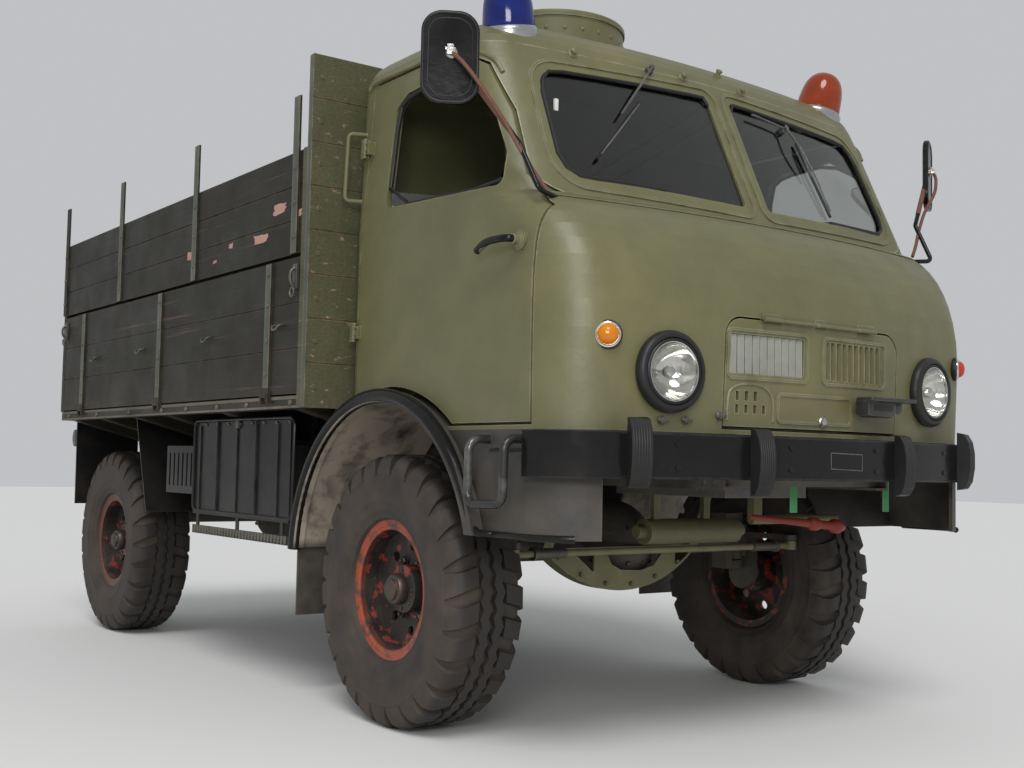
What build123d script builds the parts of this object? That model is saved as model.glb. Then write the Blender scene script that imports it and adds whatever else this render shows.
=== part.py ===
from build123d import *
import math
import os

# A light forward-control military cargo truck, 4x4, all sizes in millimetres.
# +X is forward, +Y is the truck's left, +Z is up. Every X below is measured from the front axle,
# and the finished pieces are moved forward by FRONT_AXLE_X, so that the origin lies on the
# ground under the middle of the truck.
FRONT_AXLE_X = 1124

# Running gear
WHEELBASE = 2700
TRACK = 1680
REAR_AXLE_X = -WHEELBASE
TYRE_R = 445
TYRE_WIDTH = 280
RIM_SEAT_R = 204
RIM_FLANGE_R = 222
RIM_WIDTH = 196
RIM_WALL = 8
HUB_R = 78
HUB_BORE_R = 35
HAND_HOLES = 8
HAND_HOLE_R = 17
HAND_HOLE_AT = 140
AXLE_Z = 575
KINGPIN_IN = 175
KINGPIN_Y = TRACK / 2 - KINGPIN_IN
STEER_ARM = 300
TIE_ROD_Z = 572
TIE_ROD_R = 12
BACKBONE_R = 80
DIFF_R = 165
FIT = 0.3

# Body frame
RAIL_Y = 355
RAIL_WIDTH = 60
RAIL_Z = 800
RAIL_HEIGHT = 120
RAIL_FRONT_X = 960
RAIL_REAR_X = -3150

# Cab
CAB_HALF = 950
CAB_WALL = 28
CAB_REAR_X = -300
CAB_BOTTOM = 965
CAB_BELT = 1655
CAB_TOP = 2330
NOSE_X = 1000
NOSE_BOW = 4600
SCREEN_RAKE = 0.465
SCREEN_FOOT_X = 765
ROOF_SEAM = 2190
REAR_CORNER = 60
DOOR_GAP = 8
HATCH_X = 20
HATCH_Y = -312
HATCH_R = 250
HATCH_RING = 92
HATCH_WALL = 20

# Front wheel arch
ARCH_X = -10
ARCH_Z = 500
ARCH_R = 585
ARCH_SHEET = 12
ARCH_IN = 545
ARCH_OUT = 1000
SKIRT_BOTTOM = 655
SKIRT_END_Y = -812

# Bumper
BUMPER_X = 1062
BUMPER_BOTTOM = 830
BUMPER_TOP = 960
BUMPER_BOW = 3750
BUMPER_HALF = 990
BUMPER_END_X = 772
BUMPER_DEPTH = 26
BUMPER_SHEET = 6

# Bed
BED_FRONT_X = -353
BED_REAR_X = -3185
BED_HALF = 1095
BED_BOTTOM = 1047
FLOOR_TOP = 1125
BOARD = 28
SIDE_TOP = 1585
SIDE_HINGE_Z = 1100
RACK_BOTTOM = 1600
RACK_TOP = 1971
POST_TOP = 2173
HEADBOARD_TOP = 2300


def block(x0, x1, y0, y1, z0, z1):
    """A box between two corners."""
    centre = Pos((x0 + x1) / 2, (y0 + y1) / 2, (z0 + z1) / 2)
    return centre * Box(abs(x1 - x0), abs(y1 - y0), abs(z1 - z0))


def side_plate(points, y0, y1):
    """A plate with an outline of (x, z) points, from y0 to y1."""
    face = Plane.XZ * make_face(Polyline(*points, close=True))
    return Pos(0, min(y0, y1), 0) * extrude(face, amount=abs(y1 - y0), dir=(0, 1, 0))


def front_plate(points, x0, x1):
    """A plate with an outline of (y, z) points, from x0 to x1."""
    face = Plane.YZ * make_face(Polyline(*points, close=True))
    return Pos(min(x0, x1), 0, 0) * extrude(face, amount=abs(x1 - x0), dir=(1, 0, 0))


def rod(start, end, radius):
    """A round bar between two points."""
    run = Vector(*end) - Vector(*start)
    foot = (Align.CENTER, Align.CENTER, Align.MIN)
    return Plane(origin=start, z_dir=run) * Cylinder(radius, run.length, align=foot)


def bent_tube(points, bend, radius):
    """A round tube along straight runs joined by arcs."""
    path = FilletPolyline(*points, radius=bend)
    section = Plane(origin=path @ 0, z_dir=path % 0) * Circle(radius)
    return sweep(section, path=path)


def across_y(x, z, radius, y0, y1):
    """A disc or drum whose axis runs across the truck."""
    return rod((x, min(y0, y1), z), (x, max(y0, y1), z), radius)


def both_sides(shape):
    """A shape and its mirror image, as separate solids."""
    return [shape, mirror(shape, about=Plane.XZ)]


# Hinges: a round pin held by two ears, and a barrel that turns on it.
PIN_R = 5
BARREL_R = 9
BARREL = 44
EAR = 8
EAR_GAP = 3


def hinge_barrel(place):
    """A barrel on the X axis of a plane, bored to turn on the pin."""
    centred = (Align.CENTER, Align.CENTER, Align.CENTER)
    return place * Rot(0, 90, 0) * (Cylinder(BARREL_R, BARREL, align=centred) - Cylinder(PIN_R + FIT, BARREL + 2))


def hinge_pin(place):
    """The pin with an ear at each end, on the X axis of a plane."""
    reach = BARREL / 2 + EAR_GAP + EAR
    pin = Cylinder(PIN_R, 2 * reach)
    for side in (-1, 1):
        pin += Pos(0, 0, side * (reach - EAR / 2)) * Cylinder(BARREL_R - 1.5, EAR)
    return place * Rot(0, 90, 0) * pin


# The cab's level outlines: a bowed front, straight sides and a flat back with rounded corners.
def cab_outline(height, front, half, corner, inset=0, bow=NOSE_BOW, rear=CAB_REAR_X):
    half = half - inset
    front = front - inset
    rear = rear + inset
    edge = front - half * half / (2 * bow)
    ends = Line((edge, half), (rear, half)) + Line((rear, half), (rear, -half)) + Line((rear, -half), (edge, -half))
    face = make_face(ends + ThreePointArc((edge, -half), (front, 0), (edge, half)))
    corners = face.vertices().sort_by(Axis.X)
    face = fillet(corners[-2:], max(corner - inset, 5))
    corners = face.vertices().sort_by(Axis.X)
    return Pos(0, 0, height) * fillet(corners[:2], max(REAR_CORNER - inset, 5))


# The nose follows a quarter ellipse from the grille up to the screen.
NOSE_CURVE_Z = 1250
NOSE_CURVE_RISE = 430
NOSE_CURVE_DEPTH = 300


def nose_x(height):
    share = max(height - NOSE_CURVE_Z, 0) / NOSE_CURVE_RISE
    return NOSE_X - NOSE_CURVE_DEPTH * (1 - math.sqrt(1 - share * share))


def screen_x(height):
    return SCREEN_FOOT_X - SCREEN_RAKE * (height - CAB_BELT)


# Sections of the cab: height, front on the centre line, half width, front corner radius.
LOWER_SECTIONS = [(z, nose_x(z), CAB_HALF, corner) for z, corner in (
    (1250, 200), (1330, 198), (1400, 195), (1460, 190), (1510, 185), (1555, 179), (1595, 174), (1628, 169),
    (CAB_BELT, 165))]
UPPER_SECTIONS = [
    (2130, screen_x(2130), 932, 160),
    (ROOF_SEAM, screen_x(ROOF_SEAM) - 2, 926, 158),
    (2220, 498, 914, 154),
    (2250, 472, 890, 150),
    (2278, 436, 854, 145),
    (2300, 390, 800, 140),
    (2318, 322, 715, 130),
    (CAB_TOP, 200, 560, 120)]


def cab_body(inset, bottom):
    """The cab's outside, or its inside when it is inset by the wall."""
    sections = [(bottom, NOSE_X - 12, CAB_HALF, 200)] + LOWER_SECTIONS
    sections += [(CAB_BELT + 20, screen_x(CAB_BELT + 20), CAB_HALF - 2, 163)] + UPPER_SECTIONS
    faces = []
    for height, front, half, corner in sections:
        drop = inset if height >= ROOF_SEAM else 0
        faces.append(cab_outline(height - drop, front, half, corner, inset))
    return loft(faces, ruled=True)


CAB_SOLID = cab_body(0, CAB_BOTTOM)
CAB_SHELL = CAB_SOLID - cab_body(CAB_WALL, CAB_BOTTOM - 1)


def raised(prism, height):
    """A pressing that stands proud of the cab's skin where a prism meets it."""
    return (cab_body(-height, CAB_BOTTOM) - CAB_SOLID) & prism


# The door's outline, from its front lower corner up the seam, over and down the hinge edge.
DOOR_REAR_LOW_X = -275
DOOR_REAR_TOP_X = -190
DOOR_TOP = 2172
DOOR_OUTLINE = [
    (752, 985), (752, 1610), (700, 1650), (628, 1727), (533, 1940), (431, 2105), (330, 2160),
    (250, DOOR_TOP), (DOOR_REAR_TOP_X, DOOR_TOP), (DOOR_REAR_LOW_X, 985)]
DOOR_WINDOW = [(-88, 1722), (579, 1693), (566, 1800), (467, 1998), (271, 2112), (20, 2100), (-45, 2060)]
DOOR_SIDE_IN = 700
DOOR_OVER_LIP = 24
DOOR_CUT_BACK = 10
DOOR_CUT_UP = 3


def door_prism(grow):
    """The door's outline across one side of the cab, grown by a gap all round."""
    face = Plane.XZ * offset(make_face(Polyline(*DOOR_OUTLINE, close=True)), amount=grow, kind=Kind.INTERSECTION)
    return Pos(0, -CAB_HALF - 60, 0) * extrude(face, amount=CAB_HALF + 60 - DOOR_SIDE_IN, dir=(0, 1, 0))


def arch_drum(radius, y0, y1):
    return across_y(ARCH_X, ARCH_Z, radius, y0, y1)


def door():
    """The right door: a panel of the cab shell, clear of the arch, with its window cut."""
    panel = CAB_SHELL & door_prism(0)
    panel -= arch_drum(ARCH_R + DOOR_OVER_LIP, -CAB_HALF - 60, -DOOR_SIDE_IN)
    # The cut runs out behind, so the inner corner clears the arch when the door stands open.
    panel -= Pos(-DOOR_CUT_BACK, 0, DOOR_CUT_UP) * arch_drum(ARCH_R + DOOR_OVER_LIP, -CAB_HALF - 60, -DOOR_SIDE_IN)
    window = side_plate(DOOR_WINDOW, -CAB_HALF - 60, -DOOR_SIDE_IN)
    return panel - fillet(window.edges().filter_by(Axis.Y), 25)


# Each door turns on two hinges just behind its rear edge, on one slanted line.
DOOR_HINGE_OUT = 10
DOOR_HINGE_BACK = 4
DOOR_HINGE_Z = (1311, 1951)
DOOR_SLANT = (DOOR_REAR_TOP_X - DOOR_REAR_LOW_X) / (DOOR_TOP - 985)


def door_hinge_x(z):
    return DOOR_REAR_LOW_X - DOOR_HINGE_BACK + DOOR_SLANT * (z - 985)


def door_hinge_plane(z):
    """A plane on the right door's hinge line whose X axis runs up the line and Y axis points out."""
    origin = (door_hinge_x(z), -CAB_HALF - DOOR_HINGE_OUT, z)
    return Plane(origin=origin, x_dir=(DOOR_SLANT, 0, 1), z_dir=(1, 0, -DOOR_SLANT))


def door_hinge_leaves():
    """The right door's barrels with the leaf that joins each to the panel."""
    leaves = []
    for z in DOOR_HINGE_Z:
        place = door_hinge_plane(z)
        leaf = place * (Pos(0, -10, 17) * Box(BARREL, 28, 26))
        bore = place * Rot(0, 90, 0) * Cylinder(PIN_R + FIT, BARREL + 20)
        leaves.append(leaf + hinge_barrel(place) - bore - cab_body(2, CAB_BOTTOM))
    return leaves[0] + leaves[1]


def door_hinge_pins():
    """The pins on the rear pillar, with an ear and a leaf above and below each barrel."""
    pins = []
    for z in DOOR_HINGE_Z:
        place = door_hinge_plane(z)
        leaf = Pos(0, -10, -20) * Box(BARREL + 2 * EAR_GAP + 2 * EAR, 24, 12)
        for side in (-1, 1):
            leaf += Pos(side * (BARREL / 2 + EAR_GAP + EAR / 2), -8, -10) * Box(EAR, 16, 20)
        pins.append(hinge_pin(place) + (place * leaf - cab_body(2, CAB_BOTTOM)))
    return pins[0] + pins[1]


HANDLE_Z = 1510


def door_handle():
    """The curved handle, on a round rose near the front seam."""
    base = rod((700, -CAB_HALF + 4, HANDLE_Z), (700, -CAB_HALF - 10, HANDLE_Z), 30)
    lever = bent_tube([(700, -CAB_HALF, HANDLE_Z), (700, -CAB_HALF - 52, HANDLE_Z),
                       (600, -CAB_HALF - 52, HANDLE_Z), (545, -CAB_HALF - 45, HANDLE_Z - 18)], 22, 9)
    return base + lever


def door_glass():
    """The side window is wound nearly down, and the top corner of its glass shows."""
    points = [(-55, 1721), (280, 1706.4), (-55, 1776)]
    return side_plate(points, -CAB_HALF + 18, -CAB_HALF + 13)


# The two screens, as (y, z) corners of the left one, inner foot first.
SCREEN_CORNERS = [(53, 1722), (775, 1735), (752, 2108), (53, 2134)]
SCREEN_FRONT_X = 900
GLASS = 6


def screen_prism(grow):
    face = make_face(Polyline(*SCREEN_CORNERS, close=True))
    corners = face.vertices().sort_by(Axis.X)
    face = fillet(corners[-2:], 75)
    face = fillet(face.vertices().sort_by(Axis.X)[:2], 18)
    face = Plane.YZ * offset(face, amount=grow)
    return Pos(350, 0, 0) * extrude(face, amount=SCREEN_FRONT_X - 350, dir=(1, 0, 0))


FLAP_HALF = 400
FLAP_BOTTOM = 988
FLAP_TOP = 1310
FLAP_GAP = 6
FLAP_SILL = 10
FLAP_SHEET = 14
FLAP_CORNER = 60


def flap_prism(grow):
    low = FLAP_BOTTOM - grow / FLAP_GAP * FLAP_SILL
    face = make_face(Polyline((-FLAP_HALF - grow, low), (FLAP_HALF + grow, low),
                              (FLAP_HALF + grow, FLAP_TOP + grow), (-FLAP_HALF - grow, FLAP_TOP + grow), close=True))
    face = fillet(face.vertices().sort_by(Axis.Y)[-2:], FLAP_CORNER + grow)
    return Pos(850, 0, 0) * extrude(Plane.YZ * face, amount=250, dir=(1, 0, 0))


LAMP_Y = 608
LAMP_Z = 1136
LAMP_X = 966
LAMP_R = 119
LAMP_TILT = 6


def lamp_place():
    """A plane on the right lamp's face, whose Z axis looks along the beam."""
    return Plane(origin=(LAMP_X, -LAMP_Y, LAMP_Z), x_dir=(0, 1, 0), z_dir=(1, -math.tan(math.radians(LAMP_TILT)), 0))


def headlight():
    """Right headlight: a fat rubber ring about a domed lens, with its bowl behind."""
    place = lamp_place()
    wall = CAB_SHELL & block(850, 1100, -800, -400, CAB_BOTTOM, 1300)
    half_profile = Polyline((0, -75), (70, -75), (88, -30), (100, -24), (LAMP_R, -10), (LAMP_R, 6),
                            (104, 22), (92, 22), (86, 12), (60, 22), (0, 30), close=True)
    lamp = place * revolve(Plane.XZ * make_face(half_profile), axis=Axis.Z)
    return lamp - (wall - lamp_hole())


def lamp_hole():
    return lamp_place() * Pos(0, 0, -110) * Cylinder(101, 200, align=(Align.CENTER, Align.CENTER, Align.MIN))


# The flap hangs on one thin rod along its top edge. Knuckles, as spans along Y: the nose's, then the flap's.
FLAP_HINGE_X = NOSE_X + 6.5
FLAP_HINGE_Z = FLAP_TOP + 2
FLAP_ROD_R = 3.5
FLAP_KNUCKLE_R = 6.5
NOSE_KNUCKLES = [(-262, -180), (-22, 22), (180, 262)]
FLAP_KNUCKLES = [(-176, -26), (26, 176)]


def flap_hinge_pins():
    """The rod and the nose's knuckles, above the flap."""
    pins = []
    for y0, y1 in NOSE_KNUCKLES:
        leaf = block(FLAP_HINGE_X - 28, FLAP_HINGE_X, y0, y1, FLAP_HINGE_Z + 1, FLAP_HINGE_Z + 20)
        leaf -= block(FLAP_HINGE_X - 9, FLAP_HINGE_X + 1, y0 - 1, y1 + 1, FLAP_HINGE_Z + 7, FLAP_HINGE_Z + 21)
        pins.append(across_y(FLAP_HINGE_X, FLAP_HINGE_Z, FLAP_KNUCKLE_R, y0, y1) + (leaf - cab_body(2, CAB_BOTTOM)))
    return pins[0] + pins[1] + pins[2] + across_y(FLAP_HINGE_X, FLAP_HINGE_Z, FLAP_ROD_R, -262, 262)


def flap_hinge_leaves():
    """The flap's own knuckles, bored for the rod."""
    leaves = []
    for y0, y1 in FLAP_KNUCKLES:
        leaf = block(FLAP_HINGE_X - 28, FLAP_HINGE_X, y0, y1, FLAP_HINGE_Z - 20, FLAP_HINGE_Z - 3)
        leaf -= block(FLAP_HINGE_X - 9, FLAP_HINGE_X + 1, y0 - 1, y1 + 1, FLAP_HINGE_Z - 21, FLAP_HINGE_Z - 7)
        leaf += across_y(FLAP_HINGE_X, FLAP_HINGE_Z, FLAP_KNUCKLE_R, y0, y1)
        leaf -= across_y(FLAP_HINGE_X, FLAP_HINGE_Z, FLAP_ROD_R + FIT, y0 - 1, y1 + 1)
        leaves.append(leaf - cab_body(2, CAB_BOTTOM))
    return leaves[0] + leaves[1]


BELT_BEAD_Z = (1650, 1662)
SCREEN_BEAD = (30, 40)
BEAD_HEIGHT = 5


def nose_beads():
    """The pressed beads that stiffen the nose: one along the belt and one round each screen."""
    beads = block(300, 1100, -1000, 1000, *BELT_BEAD_Z)
    for side in (screen_prism(SCREEN_BEAD[1]) - screen_prism(SCREEN_BEAD[0]),):
        for bead in both_sides(side):
            beads += bead
    return raised(beads, BEAD_HEIGHT)


def cab_front():
    """Nose, screen frame and front pillars, open for screens, lamps and the grille flap."""
    shell = CAB_SHELL & block(-100, 1100, -1000, 1000, CAB_BOTTOM - 5, ROOF_SEAM)
    shell += nose_beads() & block(300, 1100, -1000, 1000, CAB_BOTTOM, ROOF_SEAM)
    for cut in both_sides(door_prism(DOOR_GAP)):
        shell -= cut
    shell -= block(-110, 300, -1000, 1000, CAB_BOTTOM - 10, ROOF_SEAM + 10)
    for side in (-1, 1):
        shell -= arch_drum(ARCH_R + FIT, side * (ARCH_IN - 2), side * 1005)
    for cut in both_sides(screen_prism(0)) + both_sides(lamp_hole()):
        shell -= cut
    return shell - flap_prism(FLAP_GAP) + flap_hinge_pins()


def cab_rear():
    """Back wall and rear pillars, with a rounded window and a grab rail on each side."""
    shell = CAB_SHELL & block(CAB_REAR_X - 5, 300, -1000, 1000, CAB_BOTTOM - 5, ROOF_SEAM)
    for cut in both_sides(door_prism(DOOR_GAP)):
        shell -= cut
    for side in (-1, 1):
        shell -= arch_drum(ARCH_R + FIT, side * (ARCH_IN - 2), side * 1005)
    window = front_plate([(-330, 1700), (330, 1700), (330, 2020), (-330, 2020)], CAB_REAR_X - 10, CAB_REAR_X + 60)
    shell -= fillet(window.edges().filter_by(Axis.X), 60)
    for pins in both_sides(door_hinge_pins()):
        shell += pins
    for rail in both_sides(grab_rail()):
        shell += rail
    return shell


def grab_rail():
    """A loop of round bar on the rear pillar, behind the right door."""
    rail = bent_tube([(-262, -930, 1775), (-285, -995, 1775), (-268, -995, 2010), (-245, -930, 2010)], 18, 8)
    return rail - cab_body(2, CAB_BOTTOM)


def cab_roof():
    """The roof panel, with the round hatch ring on the truck's right."""
    roof = CAB_SHELL & block(-400, 800, -1000, 1000, ROOF_SEAM, CAB_TOP + 1)
    foot = Pos(HATCH_X, HATCH_Y, CAB_TOP - 60)
    inside = Cylinder(HATCH_R - HATCH_WALL, 300, align=(Align.CENTER, Align.CENTER, Align.MIN))
    ring = Cylinder(HATCH_R, HATCH_RING + 60, align=(Align.CENTER, Align.CENTER, Align.MIN))
    return (roof + foot * ring) - foot * Pos(0, 0, -60) * inside + hatch_hinge_pins()


HATCH_HINGE_X = HATCH_X - HATCH_R - 18
HATCH_HINGE_Z = CAB_TOP + HATCH_RING + 2


def hatch_hinge_plane(y):
    """A plane on the hatch hinge line behind the ring, X axis along it, Y axis forward."""
    return Plane(origin=(HATCH_HINGE_X, HATCH_Y + y, HATCH_HINGE_Z), x_dir=(0, 1, 0), z_dir=(0, 0, -1))


def hatch_hinge_pins():
    ring = Pos(HATCH_X, HATCH_Y, CAB_TOP) * Cylinder(HATCH_R, 600)
    pins = []
    for y in (-70, 70):
        place = hatch_hinge_plane(y)
        leaf = Pos(0, 60, 38) * Box(BARREL + 2 * EAR_GAP + 2 * EAR, 120, 50)
        for side in (-1, 1):
            leaf += Pos(side * (BARREL / 2 + EAR_GAP + EAR / 2), 0, 12) * Box(EAR, 14, 24)
        pins.append(hinge_pin(place) + (place * leaf - ring))
    return pins[0] + pins[1]


def hatch_lid():
    """A flat round lid with a rounded rim, hinged at the back."""
    foot = (Align.CENTER, Align.CENTER, Align.MIN)
    lid = Pos(HATCH_X, HATCH_Y, CAB_TOP + HATCH_RING + FIT) * Cylinder(HATCH_R + 6, 22, align=foot)
    lid = fillet(lid.edges().sort_by(Axis.Z)[-1], 8)
    for y in (-70, 70):
        place = hatch_hinge_plane(y)
        bore = place * Rot(0, 90, 0) * Cylinder(PIN_R + FIT, BARREL + 20)
        lid += place * (Pos(0, 26, -7) * Box(BARREL, 52, 14)) + hinge_barrel(place) - bore
    return lid


def cab_glass():
    """Both screens and the rear window, each thin and clear of its opening."""
    panes = []
    outer = cab_body(10, CAB_BOTTOM)
    inner = cab_body(10 + GLASS, CAB_BOTTOM - 1)
    pane = (outer - inner) & screen_prism(-FIT) & block(300, 900, 0, 900, 1700, 2150)
    panes += both_sides(pane)
    wide, low, high = 330 - FIT, 1700 + FIT, 2020 - FIT
    rear = front_plate([(-wide, low), (wide, low), (wide, high), (-wide, high)], CAB_REAR_X + 10, CAB_REAR_X + 10 + GLASS)
    panes.append(fillet(rear.edges().filter_by(Axis.X), 60 - FIT))
    return panes


FLOOR_SHEET = 20


def cab_floor():
    """Floor pan under both footwells, notched for the arches and open over the engine."""
    foot = cab_outline(CAB_BOTTOM, NOSE_X - 12, CAB_HALF, 200, CAB_WALL + FIT)
    floor = extrude(foot, amount=FLOOR_SHEET)
    floor -= block(-250, 900, -280, 280, CAB_BOTTOM - 5, CAB_BOTTOM + 50)
    for side in (-1, 1):
        floor -= arch_drum(ARCH_R + FIT, side * (ARCH_IN - 2), side * 1005)
        box = block(-240, 200, side * 300, side * 540, CAB_BOTTOM + FLOOR_SHEET, 1290)
        floor += box - block(-220, 180, side * 315, side * 525, CAB_BOTTOM - 5, 1275)
        for x in (-200, 220, 720):
            floor += block(x - 25, x + 25, side * 300, side * 540, RAIL_Z + RAIL_HEIGHT + FIT, CAB_BOTTOM + 1)
    return floor


def engine_cover():
    cover = block(-250, 820, -299, 299, CAB_BOTTOM + FLOOR_SHEET + FIT, 1330)
    cover = chamfer(cover.edges().filter_by(Axis.X).group_by(Axis.Z)[-1], 70)
    hollow = block(-235, 805, -281, 281, CAB_BOTTOM, 1312)
    return cover - chamfer(hollow.edges().filter_by(Axis.X).group_by(Axis.Z)[-1], 68)


def dashboard():
    board = side_plate([(640, 1480), (740, 1530), (740, 1640), (700, 1650), (620, 1600)], -880, 880)
    return board & cab_body(CAB_WALL + FIT, CAB_BOTTOM)


WHEEL_TILT = 35


def steering_wheel():
    """Large thin-rimmed wheel on a raked column, truck's left."""
    place = Plane(origin=(330, 440, 1560), x_dir=(0, 1, 0),
                  z_dir=(-math.sin(math.radians(WHEEL_TILT)), 0, math.cos(math.radians(WHEEL_TILT))))
    rim = Torus(215, 12)
    spokes = Box(424, 22, 10) + Box(22, 424, 10) + Cylinder(32, 30)
    column = Cylinder(20, 760, align=(Align.CENTER, Align.CENTER, Align.MAX))
    wheel = place * (rim + spokes + column)
    return wheel - block(-100, 1000, 200, 700, 900, CAB_BOTTOM + FLOOR_SHEET + FIT)


def seat_cushions():
    pads = []
    for side in (-1, 1):
        base = block(-235, 215, side * 302, side * 740, 1290 + FIT, 1400)
        back = side_plate([(-260, 1400 + FIT), (-150, 1400 + FIT), (-180, 1850), (-272 + FIT, 1850)], side * 302, side * 740)
        pads += [fillet(base.edges(), 25), fillet(back.edges(), 20)]
    return pads


def fender():
    """Right front arch: liner sheet, black flared lip, and the skirt that wraps round under the nose."""
    liner = arch_drum(ARCH_R, -ARCH_OUT, -ARCH_IN) - arch_drum(ARCH_R - ARCH_SHEET, -ARCH_OUT - 1, -ARCH_IN + 1)
    liner -= block(-700, 700, -ARCH_OUT - 5, -ARCH_IN + 5, -200, 545)
    liner -= block(0, 700, -ARCH_OUT - 5, -ARCH_IN + 5, 0, SKIRT_BOTTOM)
    lip = arch_drum(ARCH_R + 14, -ARCH_OUT - 12, -ARCH_OUT + 30) - arch_drum(ARCH_R - 26, -ARCH_OUT - 20, -ARCH_OUT + 40)
    lip -= block(-700, 700, -ARCH_OUT - 25, -ARCH_OUT + 45, -200, 545)
    lip -= block(0, 700, -ARCH_OUT - 25, -ARCH_OUT + 45, 0, SKIRT_BOTTOM)
    outer = extrude(cab_outline(SKIRT_BOTTOM, NOSE_X - 14, CAB_HALF + 10, 200), amount=CAB_BOTTOM - SKIRT_BOTTOM - FIT)
    inner = extrude(cab_outline(SKIRT_BOTTOM, NOSE_X - 14, CAB_HALF + 10, 200, 14), amount=CAB_BOTTOM - SKIRT_BOTTOM)
    skirt = (outer - inner) & block(ARCH_X, 1100, -1000, SKIRT_END_Y, SKIRT_BOTTOM, CAB_BOTTOM)
    skirt -= arch_drum(ARCH_R - 2, -1010, -600)
    shelf = extrude(cab_outline(CAB_BOTTOM - 20, NOSE_X - 14, CAB_HALF + 10, 200), amount=20 - FIT)
    shelf &= block(ARCH_X + 200, 1100, -1000, -ARCH_IN, 0, 2000)
    shelf -= arch_drum(ARCH_R - 2, -1010, -500)
    flap = block(-600, -592, -980, -700, 300, 560)
    return (liner + lip + skirt + shelf) + flap


STEP_R = 13
STEP_Y = -1032


def cab_step():
    """Right boarding step: a U of round tube below the door."""
    seat = -CAB_HALF - 10 - FIT
    points = [(575, seat, 935), (575, STEP_Y, 935), (570, STEP_Y, 746), (744, STEP_Y, 752),
              (748, STEP_Y, 935), (748, seat, 935)]
    return bent_tube(points, 35, STEP_R)


def bumper_outline(inset):
    return cab_outline(BUMPER_BOTTOM, BUMPER_X, BUMPER_HALF, 215, inset, BUMPER_BOW)


def bumper():
    """A bowed channel whose ends wrap round to the arches."""
    high = BUMPER_TOP - BUMPER_BOTTOM
    bar = extrude(bumper_outline(0), amount=high)
    bar -= extrude(bumper_outline(BUMPER_DEPTH), amount=high)
    hollow = extrude(bumper_outline(BUMPER_SHEET), amount=high - 2 * BUMPER_SHEET)
    hollow -= extrude(bumper_outline(60), amount=high)
    bar -= Pos(0, 0, BUMPER_SHEET) * hollow
    return bar & block(BUMPER_END_X, 1200, -1100, 1100, 0, 2000)


# Overriders: distance from the centre line, how far the bar is turned there, and how far it is lowered.
OVERRIDERS = [(331, 5, 20), (752, 20, 0)]
OVERRIDER_WIDTH = 62


def overrider(y, turn, lowered):
    x = BUMPER_X - y * y / (2 * BUMPER_BOW)
    profile = [(-12, 802), (18, 808), (34, 832), (42, 880), (42, 930), (35, 970), (20, 996), (-12, 1004)]
    profile = [(px, pz - lowered) for px, pz in profile]
    bar = side_plate(profile, -OVERRIDER_WIDTH / 2, OVERRIDER_WIDTH / 2)
    behind = Pos(0, 0, -100) * extrude(bumper_outline(-FIT), amount=400)
    return Pos(x, -y, 0) * Rot(0, 0, -turn) * bar - behind


def indicator():
    place = Plane(origin=(920, -807, 1230), x_dir=(0, 0, 1), z_dir=(0.8, -0.6, 0))
    profile = Polyline((0, -20), (30, -20), (42, -2), (42, 10), (34, 14), (30, 30), (0, 42), close=True)
    return place * revolve(Plane.XZ * make_face(profile), axis=Axis.Z) - CAB_SOLID


BEACON_TILT = 16


def beacon():
    """A domed warning lamp on a turned metal base, square to the slope of the roof's front corner."""
    profile = Polyline((0, -40), (94, -40), (96, 0), (96, 33), (92, 38), (87, 40), (86, 62), (81, 110),
                       (73, 145), (61, 170), (44, 186), (22, 195), (0, 197), close=True)
    lamp = revolve(Plane.XZ * make_face(profile), axis=Axis.Z)
    return Pos(340, -748, 2238) * Rot(BEACON_TILT, 0, 0) * lamp - CAB_SOLID


MIRROR_TURN = 30


def mirror_set():
    """Right mirror: a rounded head on an arm from the front pillar."""
    arm = bent_tube([(716, -806, 1640), (750, -928, 1652), (668, -940, 1800), (592, -1127, 2045)], 25, 8)
    arm -= CAB_SOLID
    arm -= cab_body(-BEAD_HEIGHT, CAB_BOTTOM) & block(300, 1100, -1000, -700, BELT_BEAD_Z[0] - FIT, BELT_BEAD_Z[1] + FIT)
    head = block(-8, 8, -85, 85, -137, 137)
    head = fillet(head.edges().filter_by(Axis.X), 62)
    return arm + Pos(585, -1135, 2035) * Rot(0, 0, -MIRROR_TURN) * head


# The flap's openings: two louvres of upright slots, then two rows of short slots low on the right.
LOUVRES = [(-403, -57), (8, 336)]
LOUVRE_BOTTOM = 1128
LOUVRE_TOP = 1281
LOUVRE_SLOTS = 10
LOUVRE_MARGIN = 17
BLADE = 3
# How far each louvre's blades are turned from shut, and how wide each blade is.
BLADE_TURN = (12, 68)
BLADE_WIDTH = (26, 24)
FRAME_WIDTH = 9
FRAME_HEIGHT = 5
VENT_PITCH = 36
VENT_WIDTH = 13
# Rows of short slots: the first slot's place, how many, and the row's lower and upper edge.
VENT_ROWS = [(-350, 3, 1066, 1094), (-386, 5, 1028, 1054)]


def framed(y0, y1, z0, z1):
    """A raised rounded frame pressed into the flap."""
    outer = fillet(block(850, 1100, y0, y1, z0, z1).edges().filter_by(Axis.X), 22)
    inner = block(850, 1100, y0 + FRAME_WIDTH, y1 - FRAME_WIDTH, z0 + FRAME_WIDTH, z1 - FRAME_WIDTH)
    return raised(outer - fillet(inner.edges().filter_by(Axis.X), 22 - FRAME_WIDTH), FRAME_HEIGHT)


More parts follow.
